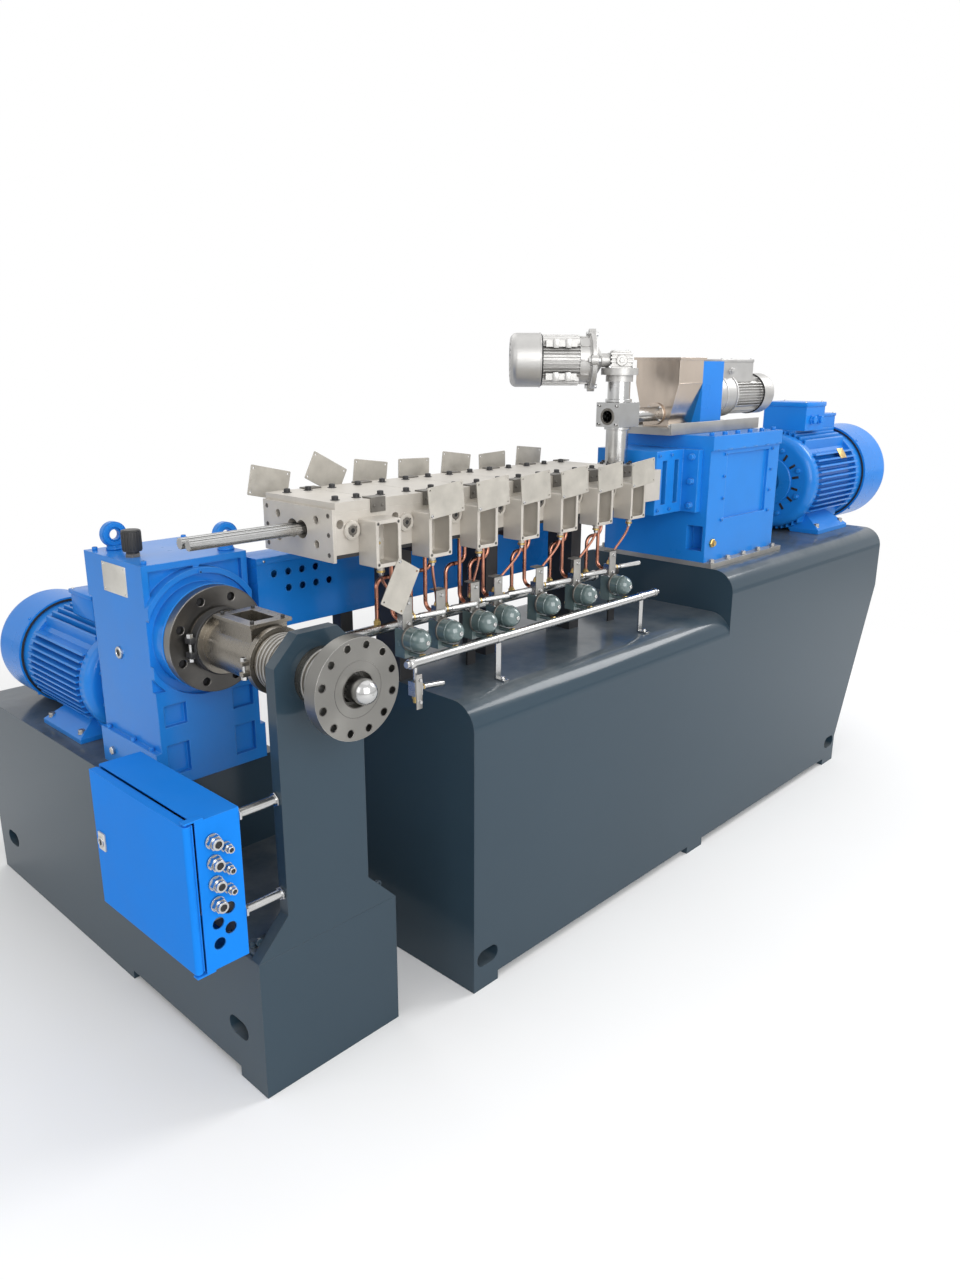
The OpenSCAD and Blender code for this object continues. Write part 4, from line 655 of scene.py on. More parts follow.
for s in STATION:
    handle_fittings(T(s, BALL_Y, BALL_Z + 0.62 * BALL_H), HANDLE, HANDLE_L)
    d.block(T(s - 19, BALL_Y - 15.2, BALL_Z + 2), T(s + 11, BALL_Y - 11.9, BALL_Z + 78), RAW, edge=0.8)
    d.block(T(s - 19, BALL_Y - 15.2, BALL_Z + 74.8), T(s + 11, BALL_Y + 9, BALL_Z + 78), RAW, edge=0.8)
    for z in (14, 64):
        d.hex_bolt(T(s - 4, BALL_Y - 15.2, BALL_Z + z), NEAR, 8)
    d.nut(T(s, BALL_Y, BALL_Z + BALL_H), UP, [(8, 0), (8, 5), (6.8, 6), (0, 6)])
DRAIN_X = rail_lo.x + 20
DRAIN_TOP = RAIL_Z - 11.3 - 32.4
DRAIN_END = [(8.5, 0), (8.5, 8), (6.5, 9), (6.5, 18), (4.5, 18), (4.5, 12), (0, 12)]
handle_fittings(T(DRAIN_X, RAIL_Y, DRAIN_TOP - BALL_H / 2), DRAIN, DRAIN_L)
d.block(T(DRAIN_X - 10, RAIL_Y - 15, RAIL_Z - 110), T(DRAIN_X + 8, RAIL_Y - 11.9, RAIL_Z - 26), RAW, edge=0.8)
for z in (-38, -92):
    d.hex_bolt(T(DRAIN_X - 1, RAIL_Y - 15, RAIL_Z + z), NEAR, 8)
d.turned(T(DRAIN_X, RAIL_Y, DRAIN_TOP - BALL_H), DOWN, DRAIN_END, BRASS, sides=16)
d.piece("valve_fittings")

VALVE_PLUG = [(9, 0), (9, 8), (7.8, 9.4), (5, 9.4), (5, 6), (0, 6)]
for s in STATION:
    front = T(s, VALVE_Y - 34 - 28, COIL_Z)
    d.turned(front + FAR * 0.6 * MM, NEAR, [(5.6, 0), (5.6, 2.2), (4.6, 3.4), (0, 4.2)], CHROME, sides=16)
    d.ring(T(s, VALVE_Y - 33, COIL_Z), FAR, 27.5, 29.0, 5, ENAMEL, sides=40, edge=1.0)
    d.ring(T(s, VALVE_Y - 7, COIL_Z), FAR, 27.5, 29.4, 6, STRAP, sides=40, edge=1.0)
    for sx in (-12, 12):
        d.hex_bolt(T(s + sx, VALVE_Y + 8, RAIL_Z + 60), UP, 7, washer=False)
    d.ring(T(s, rail_hi.y + 2, RAIL_Z), FAR, 4.8, 8.6, 10, BRASS, sides=6, edge=0.8)
    d.nut(T(s, VALVE_Y + 34, RAIL_Z + 4), FAR, VALVE_PLUG, BRASS)
d.piece("solenoid_fittings")

LOW_L = 1175
BRACKET_X = [part * LOW_L for part in (0.16, 0.69)]
BRACKET_Z = span("rail_brackets")[0].z
RAIL_CAP = [(13.2, 0), (13.2, 10), (12, 12), (8.5, 12), (8.5, 20), (7.5, 21), (0, 21)]
HEADER_CAP = [(15.4, 0), (15.4, 11), (14, 13), (9, 13), (9, 20), (8, 21), (0, 21)]
CAP_ON = 13 * MM
for x in BRACKET_X:
    d.ring(T(x - 9, RAIL_Y, RAIL_Z), RIGHT, 11.0, 12.8, 18, CHROME, sides=32)
    d.hex_bolt(T(x, RAIL_Y - 18, BRACKET_Z + 5), UP, 9)
    d.ring(T(x + 30, HEADER_Y, HEADER_Z), RIGHT, 13.0, 15.2, 30, DARK, sides=32)
for x, axis in ((rail_lo.x, LEFT), (rail_hi.x, RIGHT)):
    d.turned(T(x, RAIL_Y, RAIL_Z) - axis * CAP_ON, axis, RAIL_CAP, CHROME, sides=24)
for x, axis in ((header_lo.x, LEFT), (header_hi.x, RIGHT)):
    d.turned(T(x, HEADER_Y, HEADER_Z) - axis * CAP_ON, axis, HEADER_CAP, CHROME, sides=24)
d.piece("rail_fittings")

PIPE_NUT = [(9, 0), (9, 7), (7.8, 8.5), (6.4, 8.5), (6.4, 13), (5.05, 14)]
for s in STATION:
    for x, y in ((s, BALL_Y + 12 + 33), (s + 34, HEADER_Y)):
        d.nut(T(x, y, UNDER), DOWN, PIPE_NUT, BRASS)
    d.nut(T(s - 34, HEADER_Y, HEADER_Z + 13.4), UP, PIPE_NUT, BRASS)
    d.nut(T(s, BALL_Y + 12, BALL_Z + BALL_H / 2), FAR, [(9, 0), (9, 6), (7.8, 7), (5.1, 9)])
d.piece("pipe_nuts")


# Wiring duct

duct_lo, duct_hi = span("wiring_duct")
DUCT_D, DUCT_H = 90, 180
CABLE_PITCH = 42
LID = 1.5
LID_T = 1.6
left, right = duct_lo.x - LID, duct_hi.x + LID
d.block(T(left, duct_lo.y - LID, duct_hi.z), T(right, duct_hi.y + LID, duct_hi.z + 1.8), BLUE, edge=0.7)
for y in (duct_lo.y - LID_T, duct_hi.y):
    d.block(T(left, y, duct_hi.z - 14), T(right, y + LID_T, duct_hi.z + 1), BLUE, edge=0.6)
for x in steps(duct_lo.x + 20, duct_hi.x - 20, 9):
    d.pan_screw(T(x, duct_lo.y - LID_T, duct_hi.z - 7), NEAR, 7)
    d.pan_screw(T(x, duct_hi.y + LID_T, duct_hi.z - 7), FAR, 7)
for (first, z), i in product(((0.54 * DUCT_D, 0.77 * DUCT_H), (DUCT_D, 0.54 * DUCT_H)), range(4)):
    p = T(duct_lo.x + first + i * CABLE_PITCH, duct_lo.y, duct_lo.z + z)
    d.ring(p, NEAR, 9.0, 11.0, 0.8, BLUE, edge=0.3)
d.piece("duct_lid")


# Twin drive

gear_lo, gear_hi = span("twin_gearbox")
lantern_lo, lantern_hi = span("lantern")
sole_lo, sole_hi = span("gearbox_sole")
DRAIN_PLUG = [(15, 0), (15, 6), (13, 8), (9, 8), (9, 14), (0, 14)]
for x in steps(gear_lo.x + 24, gear_hi.x - 24, 6):
    for y in (gear_lo.y + 24, gear_hi.y - 24):
        d.socket_screw(T(x, y, gear_hi.z), UP, 16, BLUE_CAST)
    for y in (gear_lo.y, gear_hi.y):
        d.block(T(x - 15, y - 0.4, gear_hi.z - 44.5), T(x + 15, y + 0.4, gear_hi.z - 41.5), BLUE_CAST, edge=0.3)
for z, y in product((lantern_lo.z + 22, AXIS, lantern_hi.z - 22), (lantern_lo.y + 22, lantern_hi.y - 22)):
    d.hex_bolt(T(gear_lo.x - 24, y, z), LEFT, 17, BLUE_CAST)
for x, y in product(steps(gear_lo.x + 22, gear_hi.x - 22, 5), (sole_lo.y + 12, sole_hi.y - 12)):
    d.hex_bolt(T(x, y, sole_hi.z), UP, 15, RAW)
for y, axis in ((gear_lo.y + 8, NEAR), (gear_hi.y - 8, FAR)):
    for x, k in product((gear_lo.x + 88, gear_hi.x - 52), range(4)):
        d.socket_screw(T(x, y, gear_lo.z + 130 + k * 70), axis, 10, BLUE_CAST)
d.nut(T(gear_lo.x + 40, gear_lo.y + 8, gear_lo.z + 60), NEAR, DRAIN_PLUG, BRASS)
d.piece("gearbox_bolts")

LANTERN_HALF = 112
for y, axis in ((MID_Y - LANTERN_HALF, NEAR), (MID_Y + LANTERN_HALF, FAR)):
    for z, x in product((lantern_lo.z + 14, lantern_hi.z - 14), (lantern_lo.x + 14, lantern_lo.x + 80)):
        d.socket_screw(T(x, y, z), axis, 10, BLUE_CAST)
d.piece("lantern_screws")

motor_lo, motor_hi = span("drive_motor")
MOTOR_Z = motor_hi.z - 190
COWL_X = span("drive_motor_cowl")[0].x
tops_lo, tops_hi = span("drive_motor_boxes")
CABLE_PLUG = [(19, 0), (19, 5), (16, 6), (16, 16), (13.5, 18), (0, 18)]
lid_z = tops_hi.z + 3
d.block(T(tops_lo.x - 4, tops_lo.y - 4, tops_hi.z - 14), T(tops_lo.x + 162, tops_hi.y + 4, lid_z), BLUE, edge=3)
small_z = tops_lo.z + 56
d.block(T(tops_lo.x + 160, MID_Y - 53, small_z - 12), T(tops_hi.x + 3, MID_Y + 53, small_z), BLUE, edge=2.5)
for x, y in product((tops_lo.x + 10, tops_lo.x + 148), (tops_lo.y + 10, tops_hi.y - 10)):
    d.pan_screw(T(x, y, lid_z), UP, 9)
for x, y in product((tops_lo.x + 172, tops_hi.x - 9), (MID_Y - 43, MID_Y + 43)):
    d.pan_screw(T(x, y, small_z), UP, 8)
for x in (tops_lo.x + 50, tops_lo.x + 110):
    d.nut(T(x, tops_lo.y, tops_lo.z + 40), NEAR, CABLE_PLUG, BLUE)
d.piece("drive_motor_box_lids")

SHIELD_BOLT_R, SHIELD_SLOT_R = 128, 110
COWL_R = 193.5
PLATE_TILT = radians(32)
PLATE_R = 190.5
for a in angles(8, 22.5):
    d.hex_bolt(round_x(motor_lo.x, SHIELD_BOLT_R, a, MOTOR_Z), LEFT, 15, BLUE_CAST)
d.ring(T(motor_lo.x - 6, MID_Y, MOTOR_Z), RIGHT, 44, 92, 7, BLUE_CAST, sides=48, edge=2)
half = mm(0.9, 13, 4.5)
# Thin near-black slabs on the end shield: painted shade standing in for its cooling slots.
for a in angles(16, 11):
    q = round_x(motor_lo.x - 0.5, SHIELD_SLOT_R, a, MOTOR_Z)
    d.block(q - half, q + half, HOLLOW_SHADE, edge=0.4, turn=Matrix.Rotation(a, 3, "X"))
for x, y in product((motor_lo.x + 96, motor_lo.x + 304), (MID_Y - 166, MID_Y + 166)):
    d.hex_bolt(T(x, y, motor_lo.z + 22), UP, 19, RAW)
for a in angles(4, 45):
    d.pan_screw(round_x(COWL_X + 16, COWL_R, a, MOTOR_Z), Vector((0, cos(a), sin(a))), 11, BLUE)
# Near-black ring at the cowl's joint: painted shade in the seam.
d.ring(T(COWL_X - 3, MID_Y, MOTOR_Z), RIGHT, 181, 187, 3, HOLLOW_SHADE, sides=72, edge=0.5)
q = T(motor_lo.x + 268, MID_Y - PLATE_R * cos(PLATE_TILT), MOTOR_Z + PLATE_R * sin(PLATE_TILT))
turn = Matrix.Rotation(-PLATE_TILT, 3, "X")
half = mm(26, 1.2, 21)
d.block(q - half, q + half, BRASS, edge=0.8, turn=turn)
for sx, sz in product((-21, 21), (-16, 16)):
    rivet = q + turn @ mm(sx, -1.2, sz)
    d.turned(rivet, turn @ NEAR, [(2.0, 0), (1.6, 0.7), (0, 0.9)], CHROME, sides=10)
d.piece("drive_motor_details")

coupling_lo, coupling_hi = span("shaft_coupling")
middle = (coupling_lo.x + coupling_hi.x) / 2
HUB_L = 69.5
d.ring(T(middle - 4, MID_Y, MOTOR_Z), RIGHT, 70, 77, 8, PLASTIC, sides=48)
for a, (x, axis) in product(angles(6), ((middle - HUB_L, LEFT), (middle + HUB_L, RIGHT))):
    d.hex_bolt(round_x(x, 52, a, MOTOR_Z), axis, 13, DARK)
d.piece("coupling_bolts")


# Feeder

hopper_lo, hopper_hi = span("feeder_hopper")
tube_lo, tube_hi = span("feeder_tube")
TUBE_Z = (tube_lo.z + tube_hi.z) / 2
DRIVE_X = span("feeder_drive_plate")[1].x
fmotor_lo, fmotor_hi = span("feeder_motor")
FMOTOR_Z = fmotor_lo.z + 70
shelf_lo, shelf_hi = span("feeder_shelf")
SPIRAL_STEPS, SPIRAL_TURNS = 96, 4
SPIRAL_L, SPIRAL_R = 118, 24
SPIRAL_Z = hopper_lo.z + 68
d.ring(T(hopper_lo.x - 1, MID_Y, TUBE_Z), RIGHT, 22.4, 34, 8, STAINLESS, sides=40)
for a in angles(4, 45):
    d.hex_bolt(round_x(hopper_lo.x - 1, 28.5, a, TUBE_Z), LEFT, 7)
inside_x = hopper_lo.x + 11
points = []
for k in range(SPIRAL_STEPS + 1):
    u = k / SPIRAL_STEPS
    points.append(round_x(inside_x + 4 + SPIRAL_L * u, SPIRAL_R, 2 * pi * SPIRAL_TURNS * u, SPIRAL_Z))
d.tube(points, 3.2, CHROME, sides=8)
d.turned(T(inside_x, MID_Y, SPIRAL_Z), RIGHT, [(9, 0), (9, 126), (0, 126)], CHROME)
seam_z = hopper_hi.z - 79
for y in (hopper_lo.y + 7, hopper_hi.y - 7):
    seam_lo = T(hopper_lo.x + 14, y - 0.9, seam_z - 1.5)
    seam_hi = T(hopper_hi.x - 14, y + 0.9, seam_z + 1.5)
    d.block(seam_lo, seam_hi, STAINLESS, edge=0.8)
d.piece("hopper_fittings")

FEEDER_GLAND = [(12, 0), (12, 4), (10, 5), (10, 12), (8, 13), (0, 13)]
d.ring(T(DRIVE_X, MID_Y, FMOTOR_Z), RIGHT, 69, 79, 11, CAST, sides=56, edge=1.5)
for a in angles(4, 45):
    d.hex_bolt(round_x(DRIVE_X + 11, 74.2, a, FMOTOR_Z), RIGHT, 8)
# Near-black ring at the motor's joint: painted shade in the seam.
d.ring(T(fmotor_hi.x - 84, MID_Y, FMOTOR_Z), RIGHT, 66, 70.6, 4, HOLLOW_SHADE, sides=56)
d.ring(T(fmotor_lo.x + 60, MID_Y, FMOTOR_Z), RIGHT, 69.4, 72.5, 7, CAST, sides=56, edge=1.2)
d.ring(T(fmotor_lo.x + 124, MID_Y, FMOTOR_Z), RIGHT, 69.4, 73.5, 7, CAST, sides=56, edge=1.2)
box_x = fmotor_lo.x + 47.8
lid_z = fmotor_hi.z + 2.5
d.block(T(box_x - 2, MID_Y - 47, fmotor_hi.z - 8), T(box_x + 217, MID_Y + 47, lid_z), CAST, edge=2)
for x, y in product((box_x + 8, box_x + 207), (MID_Y - 38, MID_Y + 38)):
    d.pan_screw(T(x, y, lid_z), UP, 8)
d.nut(T(box_x + 60, MID_Y - 44.8, fmotor_hi.z - 36), NEAR, FEEDER_GLAND, CAST)
d.piece("feeder_motor_details")

SHELF_BAR = 6
for x, y in product(steps(shelf_lo.x + 20, shelf_hi.x - 20, 5), (shelf_lo.y + 12, shelf_hi.y - 12)):
    covered = hopper_lo.x - 10 < x < DRIVE_X + 14 and abs(y - MID_Y) < 92
    if not covered:
        d.hex_bolt(T(x, y, shelf_hi.z), UP, 13)
for y in (shelf_lo.y - SHELF_BAR, shelf_hi.y):
    d.block(T(shelf_lo.x, y, shelf_lo.z + 0.4), T(shelf_hi.x, y + SHELF_BAR, shelf_hi.z + 14), RAW)
d.piece("feeder_frame")


# Stuffer

pipe_lo = span("stuffer_pipe")[0]
worm_lo, worm_hi = span("stuffer_gearbox")
STUFF_X = (worm_lo.x + worm_hi.x) / 2
smotor_lo, smotor_hi = span("stuffer_motor")
WORM_Z = (smotor_lo.z + smotor_hi.z) / 2
FOOT_BOLT_R = 48
d.ring(T(STUFF_X, MID_Y, pipe_lo.z), UP, 33.8, 58, 13, RAW, sides=48, edge=1.5)
for a in angles(6, 30):
    d.socket_screw(T(STUFF_X + FOOT_BOLT_R * cos(a), MID_Y + FOOT_BOLT_R * sin(a), pipe_lo.z + 13), UP, 11)
for z in (42, -40):
    d.ring(T(STUFF_X, MID_Y, TUBE_Z + z), UP, 33.8, 40, 9, CHROME, sides=40, edge=1.2)
d.ring(T(pipe_lo.x - 1.5, MID_Y, TUBE_Z), RIGHT, 18.6, 25, 2, STRAP, sides=36)
for y, z in product((-32, 32), (-22, 32)):
    d.socket_screw(T(pipe_lo.x, MID_Y + y, TUBE_Z + z), LEFT, 10, CHROME)
d.piece("stuffer_fittings")

TURN = radians(45)
BACK = Vector((-sin(TURN), cos(TURN), 0))
CROSS = Vector((cos(TURN), sin(TURN), 0))
TURNED_BY = Matrix.Rotation(TURN, 3, "Z")


def S(along, across, z):
    """Place beside the stuffer's axis, along its motor and across it."""
    return T(STUFF_X, MID_Y, z) + (BACK * along + CROSS * across) / 1000


def worm_block(place, half_across, half_along, half_up, edge, roll=0.0):
    """Cast block about a place, turned with the stuffer."""
    half = mm(half_across, half_along, half_up)
    d.block(place - half, place + half, CAST, edge, turn=TURNED_BY @ Matrix.Rotation(roll, 3, "Y"))


WORM_CAP = [(17, 0), (17, 5), (15, 6.5), (8, 6.5), (7, 9), (0, 9)]
WORM_END = [(19, 0), (19, 5), (17, 6.5), (9, 6.5), (8, 9), (0, 9)]
WORM_BOLT_R = 49
for a in angles(4, 45):
    d.hex_bolt(S(WORM_BOLT_R * sin(a), WORM_BOLT_R * cos(a), worm_lo.z + 39.6), UP, 9)
worm_block(S(0, 0, worm_hi.z + 2), 27, 27, 3, 2)
for x, y in product((-21, 21), (-21, 21)):
    d.pan_screw(S(y, x, worm_hi.z + 5), UP, 7)
d.turned(S(0, -29, WORM_Z), -CROSS, WORM_CAP, CAST, sides=28)
d.turned(S(-29, 0, WORM_Z), -BACK, WORM_END, CAST, sides=28)
d.piece("worm_gearbox_details")

STUFF_MOTOR_L = 255
FLANGE_AT = 33 + 43.7
COWL_AT = FLANGE_AT + 0.645 * STUFF_MOTOR_L
BOX_AT = FLANGE_AT + 108
FLANGE_BOLT_R = 75
CLAW_R = 68.4
STUFF_GLAND = [(9.5, 0), (9.5, 4), (8, 5), (8, 12), (6.4, 13), (0, 13)]
d.ring(S(FLANGE_AT + 2, 0, WORM_Z), BACK, 60, 84, 15, CAST, sides=72, edge=2)
for a in angles(4):
    across, z = FLANGE_BOLT_R * cos(a), WORM_Z + FLANGE_BOLT_R * sin(a)
    d.hex_bolt(S(FLANGE_AT, across, z), -BACK, 11)
    d.nut(S(FLANGE_AT + 20.3, across, z), BACK, [(7.5, 0), (7.5, 7), (6.4, 8), (0, 8)])
d.ring(S(COWL_AT, 0, WORM_Z), BACK, 74, 79.4, 4, CAST, sides=60, edge=0.8)
# Near-black ring inside the cowl's edge: painted shade in the seam.
d.ring(S(COWL_AT - 4, 0, WORM_Z), BACK, 70, 75.5, 4, HOLLOW_SHADE, sides=60, edge=0.8)
for a in angles(10):
    worm_block(S(FLANGE_AT + 35.6, CLAW_R * cos(a), WORM_Z + CLAW_R * sin(a)), 3.5, 13, 3, 1, roll=-a)
for z, along in product((-47, 47), (88, 124)):
    worm_block(S(FLANGE_AT + along, -75, WORM_Z + z), 4, 8, 13, 1)
worm_block(S(BOX_AT, 78, WORM_Z), 12, 40, 40, 3)
for z, along in product((-32, 32), (-33, 33)):
    d.pan_screw(S(BOX_AT + along, 90, WORM_Z + z), CROSS, 8)
d.nut(S(BOX_AT, 78, WORM_Z - 40), DOWN, STUFF_GLAND, PLASTIC)
d.piece("stuffer_motor_details")


# Second stage

g2_lo, g2_hi = span("second_gearbox")
NOSE_L = 50
G2_W, G2_L = 272, 266
G2_X = X2 - G2_W / 2
G2_FRONT = g2_lo.y + NOSE_L
SIGHT_GLASS = [(15, 0), (15, 4.5), (13.6, 6), (9.5, 6), (9, 4.6), (0, 4.2)]
sight_y, sight_z = G2_FRONT + 146, 882
d.block(T(G2_X - 1.6, G2_FRONT + 75, 1028), T(G2_X + 0.4, G2_FRONT + 192, 1099), PLATE, edge=0.8)
for y, z in product((82, 185), (1034, 1093)):
    d.turned(T(G2_X - 1.6, G2_FRONT + y, z), LEFT, [(2.6, 0), (2.2, 0.9), (0, 1.3)], CHROME, sides=12)
d.turned(T(G2_X, sight_y, sight_z), LEFT, SIGHT_GLASS, CHROME, sides=24)
# Near-black disc in the sight glass: painted shade of the gearbox inside.
d.turned(T(G2_X - 4.2, sight_y, sight_z), LEFT, [(8.4, 0), (7.6, 1.1), (0, 1.6)], HOLLOW_SHADE)
plug = T(G2_X - 14, G2_FRONT + 210, g2_lo.z + 40)
d.nut(plug, LEFT, [(11, 0), (11, 6), (9.6, 7.2), (0, 7.2)])
d.piece("gearbox_plate")

rear_lo2, rear_hi2 = span("rear_flange")
REAR_R = (rear_hi2.x - rear_lo2.x) / 2
BELL_Y, BELL_Z = G2_FRONT + G2_L, g2_lo.z + 160
BELL_BOLT_R = 117
EYE_CORNERS = ((118, 20), (-118, 150))
for x, y in product((-143.5, 143.5), (20, 110, 235)):
    d.hex_bolt(T(X2 + x, G2_FRONT + y, g2_lo.z + 92), UP, 10.5, BLUE_CAST)
for x, y in product((-118, 118), (20, 150, 262)):
    if (x, y) not in EYE_CORNERS:
        d.socket_screw(T(X2 + x, G2_FRONT + y, g2_hi.z), UP, 13, BLUE_CAST)
d.ring(T(X2, BELL_Y, BELL_Z), FAR, 108, 126, 12, BLUE_CAST, sides=60, edge=2)
for a in angles(8, 22.5):
    d.hex_bolt(round_y(BELL_Y + 12, BELL_BOLT_R, a, BELL_Z), FAR, 11, BLUE_CAST)
d.socket_screw(T(X2, G2_FRONT - 14, Z2 + 150), NEAR, 9, BLUE_CAST)
seat = T(X2, rear_hi2.y + 0.2, Z2)
d.ring(seat, FAR, REAR_R - 0.4, REAR_R + 2.5, 8, BLUE_CAST, sides=80, edge=1.2)
d.piece("second_gearbox_bolts")

EYE_Z = span("lifting_eyes")[0].z
for x, y in ((-0.29 * G2_W, 0.90 * G2_L), (0.40 * G2_W, 0.17 * G2_L)):
    p = T(X2 + x, G2_FRONT + y, EYE_Z)
    d.ring(p, UP, 17.5, 20.5, 6, BLUE_CAST, sides=32, edge=1.5)
    hole = p + UP * 37 * MM
    d.ring(hole + NEAR * 7.5 * MM, FAR, 12.5, 18, 15, BLUE_CAST, sides=44, edge=2.5)
    for s, axis in ((-8, NEAR), (8, FAR)):
        d.ring(hole + FAR * s / 1000 - axis * 2 * MM, axis, 17.0, 29.5, 3.2, BLUE_CAST, sides=44, edge=2.2)
d.piece("eye_rims")

cap_lo, cap_hi = span("breather_cap")
cap_x, cap_y = (cap_lo.x + cap_hi.x) / 2, (cap_lo.y + cap_hi.y) / 2
CAP_RIB_R = 21.8
half = mm(1.2, 1.8, 21)
d.nut(T(cap_x, cap_y, cap_lo.z), UP, [(18, 0), (18, 7), (16.5, 8.5), (15, 8.5)], STRAP)
for a in angles(20):
    p = T(cap_x + CAP_RIB_R * cos(a), cap_y + CAP_RIB_R * sin(a), cap_lo.z + 38)
    d.block(p - half, p + half, PLASTIC, edge=0.7, turn=Matrix.Rotation(a, 3, "Z"))
d.turned(T(cap_x, cap_y, cap_hi.z), UP, [(20, -0.5), (19, 1.6), (12, 2.6), (0, 3.0)], PLASTIC, sides=32)
d.piece("breather_ribs")


def clamp_screw(x, y, low, high, reach, r, nut):
    """Upright screw of a clamp, between two nuts, on the left of the second barrel."""
    d.nut(T(X2 + x, y, Z2 + low), DOWN, nut)
    d.tube([T(X2 + x, y, Z2 + low), T(X2 + x, y, Z2 + reach)], r, CHROME)
    d.nut(T(X2 + x, y, Z2 + high), UP, nut)


BARREL_TOP = span("second_barrel")[1].z
col_lo, col_hi = span("column")
LAND_R, GROOVE_IN, GROOVE = 62, 10, 6
band_y = rear_lo2.y - 31
d.ring(T(X2, band_y, Z2), FAR, 74.6, 78.5, 25, DARK, sides=64, edge=1.5)
for z in (-17, 17):
    ear_z = Z2 + z
    d.block(T(X2 - 90, band_y, ear_z - 7), T(X2 - 74, band_y + 25, ear_z + 7), DARK, edge=1.5)
clamp_screw(-83, band_y + 12.5, -24, 24, 30, 4, [(8, 0), (8, 8), (7, 9), (0, 9)])
# Proud lands on the second barrel beside the front flange and the column: real ribs, in the lighter ground steel
# against the darker barrel as a painted highlight.
for start, count in ((flange_hi.y, 6), (col_hi.y, 9)):
    for k in range(count):
        y = start + GROOVE_IN + (2 * k - 1) * GROOVE
        land = T(X2, y + 0.4, Z2)
        d.ring(land, FAR, LAND_R - 0.8, LAND_R + 3, GROOVE - 0.8, RAW, sides=72, edge=1.0)
ring_y = MID_Y - 63 - 32
for z in (-12, 12):
    ear_z = Z2 + z
    d.block(T(X2 - 92, ring_y + 1, ear_z - 5), T(X2 - 72, ring_y + 15, ear_z + 5), TURNED, edge=1.2)
clamp_screw(-84, ring_y + 8, -17, 17, 25, 3.4, [(7, 0), (7, 7), (6, 8), (0, 8)])
for x, y in product((-39, 39), (-58, 58)):
    d.socket_screw(T(X2 + x, MID_Y + y, BARREL_TOP), UP, 9)
d.piece("barrel_clamps")

REAR_HOLE_R = 103
# A thin band of the lighter front flange steel round the rear flange's rim: painted highlight. The near-black
# discs in its bolt holes are painted shade.
rim = T(X2, rear_lo2.y + 0.6, Z2)
d.ring(rim, FAR, REAR_R - 0.5, REAR_R + 0.5, rear_hi2.y - rear_lo2.y - 1.0, FLANGE, sides=96, edge=0.3)
for a in angles(8, 22.5):
    d.turned(round_y(rear_lo2.y + 15, REAR_HOLE_R, a, Z2), NEAR, [(9.7, 0), (9.7, 3), (0, 3)], HOLLOW_SHADE)
d.piece("rear_flange_rim_highlight_and_hole_shade")

FRONT_HOLE_R = 90.5
# Rings of the darker flange steel at the hole and step edges of the front flange: painted shade in the chamfers.
for a in angles(12, 15):
    p = round_y(flange_lo.y, FRONT_HOLE_R, a, Z2)
    d.ring(p + FAR * 0.2 * MM, NEAR, 8.0, 9.4, 0.5, FLANGE_IN_SHADE, sides=24, edge=0.2)
face = T(X2, flange_lo.y + 0.2, Z2)
d.ring(face, NEAR, 37, 39.4, 0.6, FLANGE_IN_SHADE, sides=56, edge=0.25)
d.ring(face, NEAR, 58, 59, 0.35, FLANGE_IN_SHADE, sides=64, edge=0.15)
d.piece("flange_chamfer_shade")

for on in (-165, -125, 125, 165):
    x = X2 + on
    d.block(T(x - 16, col_hi.y, col_lo.z), T(x + 16, col_hi.y + 46, col_lo.z + 10), SLATE, edge=1.5)
    d.hex_bolt(T(x, col_hi.y + 27, col_lo.z + 10), UP, 17, SLATE)
    d.hex_bolt(T(x, col_hi.y, col_lo.z + 30), FAR, 13, SLATE)
d.piece("column_bolts")

m2_lo, m2_hi = span("second_motor")
M2_Z = m2_hi.z - 155
COWL2_Y = span("second_motor_cowl")[0].y
SHIELD2_BOLT_R, COWL2_R = 112, 158.5
for a in angles(8, 22.5):
    d.hex_bolt(round_y(m2_lo.y, SHIELD2_BOLT_R, a, M2_Z), NEAR, 11, BLUE_CAST)
for x, y in product((-136, 136), (90, 276)):
    d.hex_bolt(T(X2 + x, m2_lo.y + y, m2_lo.z + 19), UP, 16, RAW)
for a in angles(4, 45):
    d.pan_screw(round_y(COWL2_Y + 14, COWL2_R, a, M2_Z), Vector((cos(a), 0, sin(a))), 10, BLUE)
# Near-black ring at the cowl's joint: painted shade in the seam.
d.ring(T(X2, COWL2_Y - 3, M2_Z), FAR, 148, 154, 3, HOLLOW_SHADE, sides=72, edge=0.5)
for half_x, y0, y1, z0, z1, edge in ((60, 110, 240, -6, 62, 4), (64, 106, 244, 54, 66, 3)):
    corner_lo = T(X2 - half_x, m2_lo.y + y0, m2_hi.z + z0)
    corner_hi = T(X2 + half_x, m2_lo.y + y1, m2_hi.z + z1)
    d.block(corner_lo, corner_hi, BLUE, edge=edge)
for x, y in product((-54, 54), (116, 234)):
    d.pan_screw(T(X2 + x, m2_lo.y + y, m2_hi.z + 66), UP, 8)
d.piece("second_motor_details")


# Junction box

cab_lo, cab_hi = span("junction_box")
door_lo, door_hi = span("junction_box_door")
CAB_D = 97
CAB_X0 = cab_hi.x - CAB_D
CAB_Z0, CAB_Z1 = cab_lo.z + 4, cab_hi.z - 4
CAB_H = CAB_Z1 - CAB_Z0
LOCK = [(12.4, -2), (12.4, 1.2), (11.4, 2.0), (8.2, 2.0), (8.0, 1.2), (0, 1.2)]
FOLD = 3
GASKET_STEPS = 8
lock = T(door_lo.x + 6, door_hi.y - 31, (CAB_Z0 + CAB_Z1) / 2)
d.block(lock + mm(-4.5, -14.5, -21), lock + mm(0.4, 14.5, 21), PLATE, edge=2)
d.turned(lock + LEFT * 5.2 * MM, LEFT, LOCK, CHROME, sides=28)
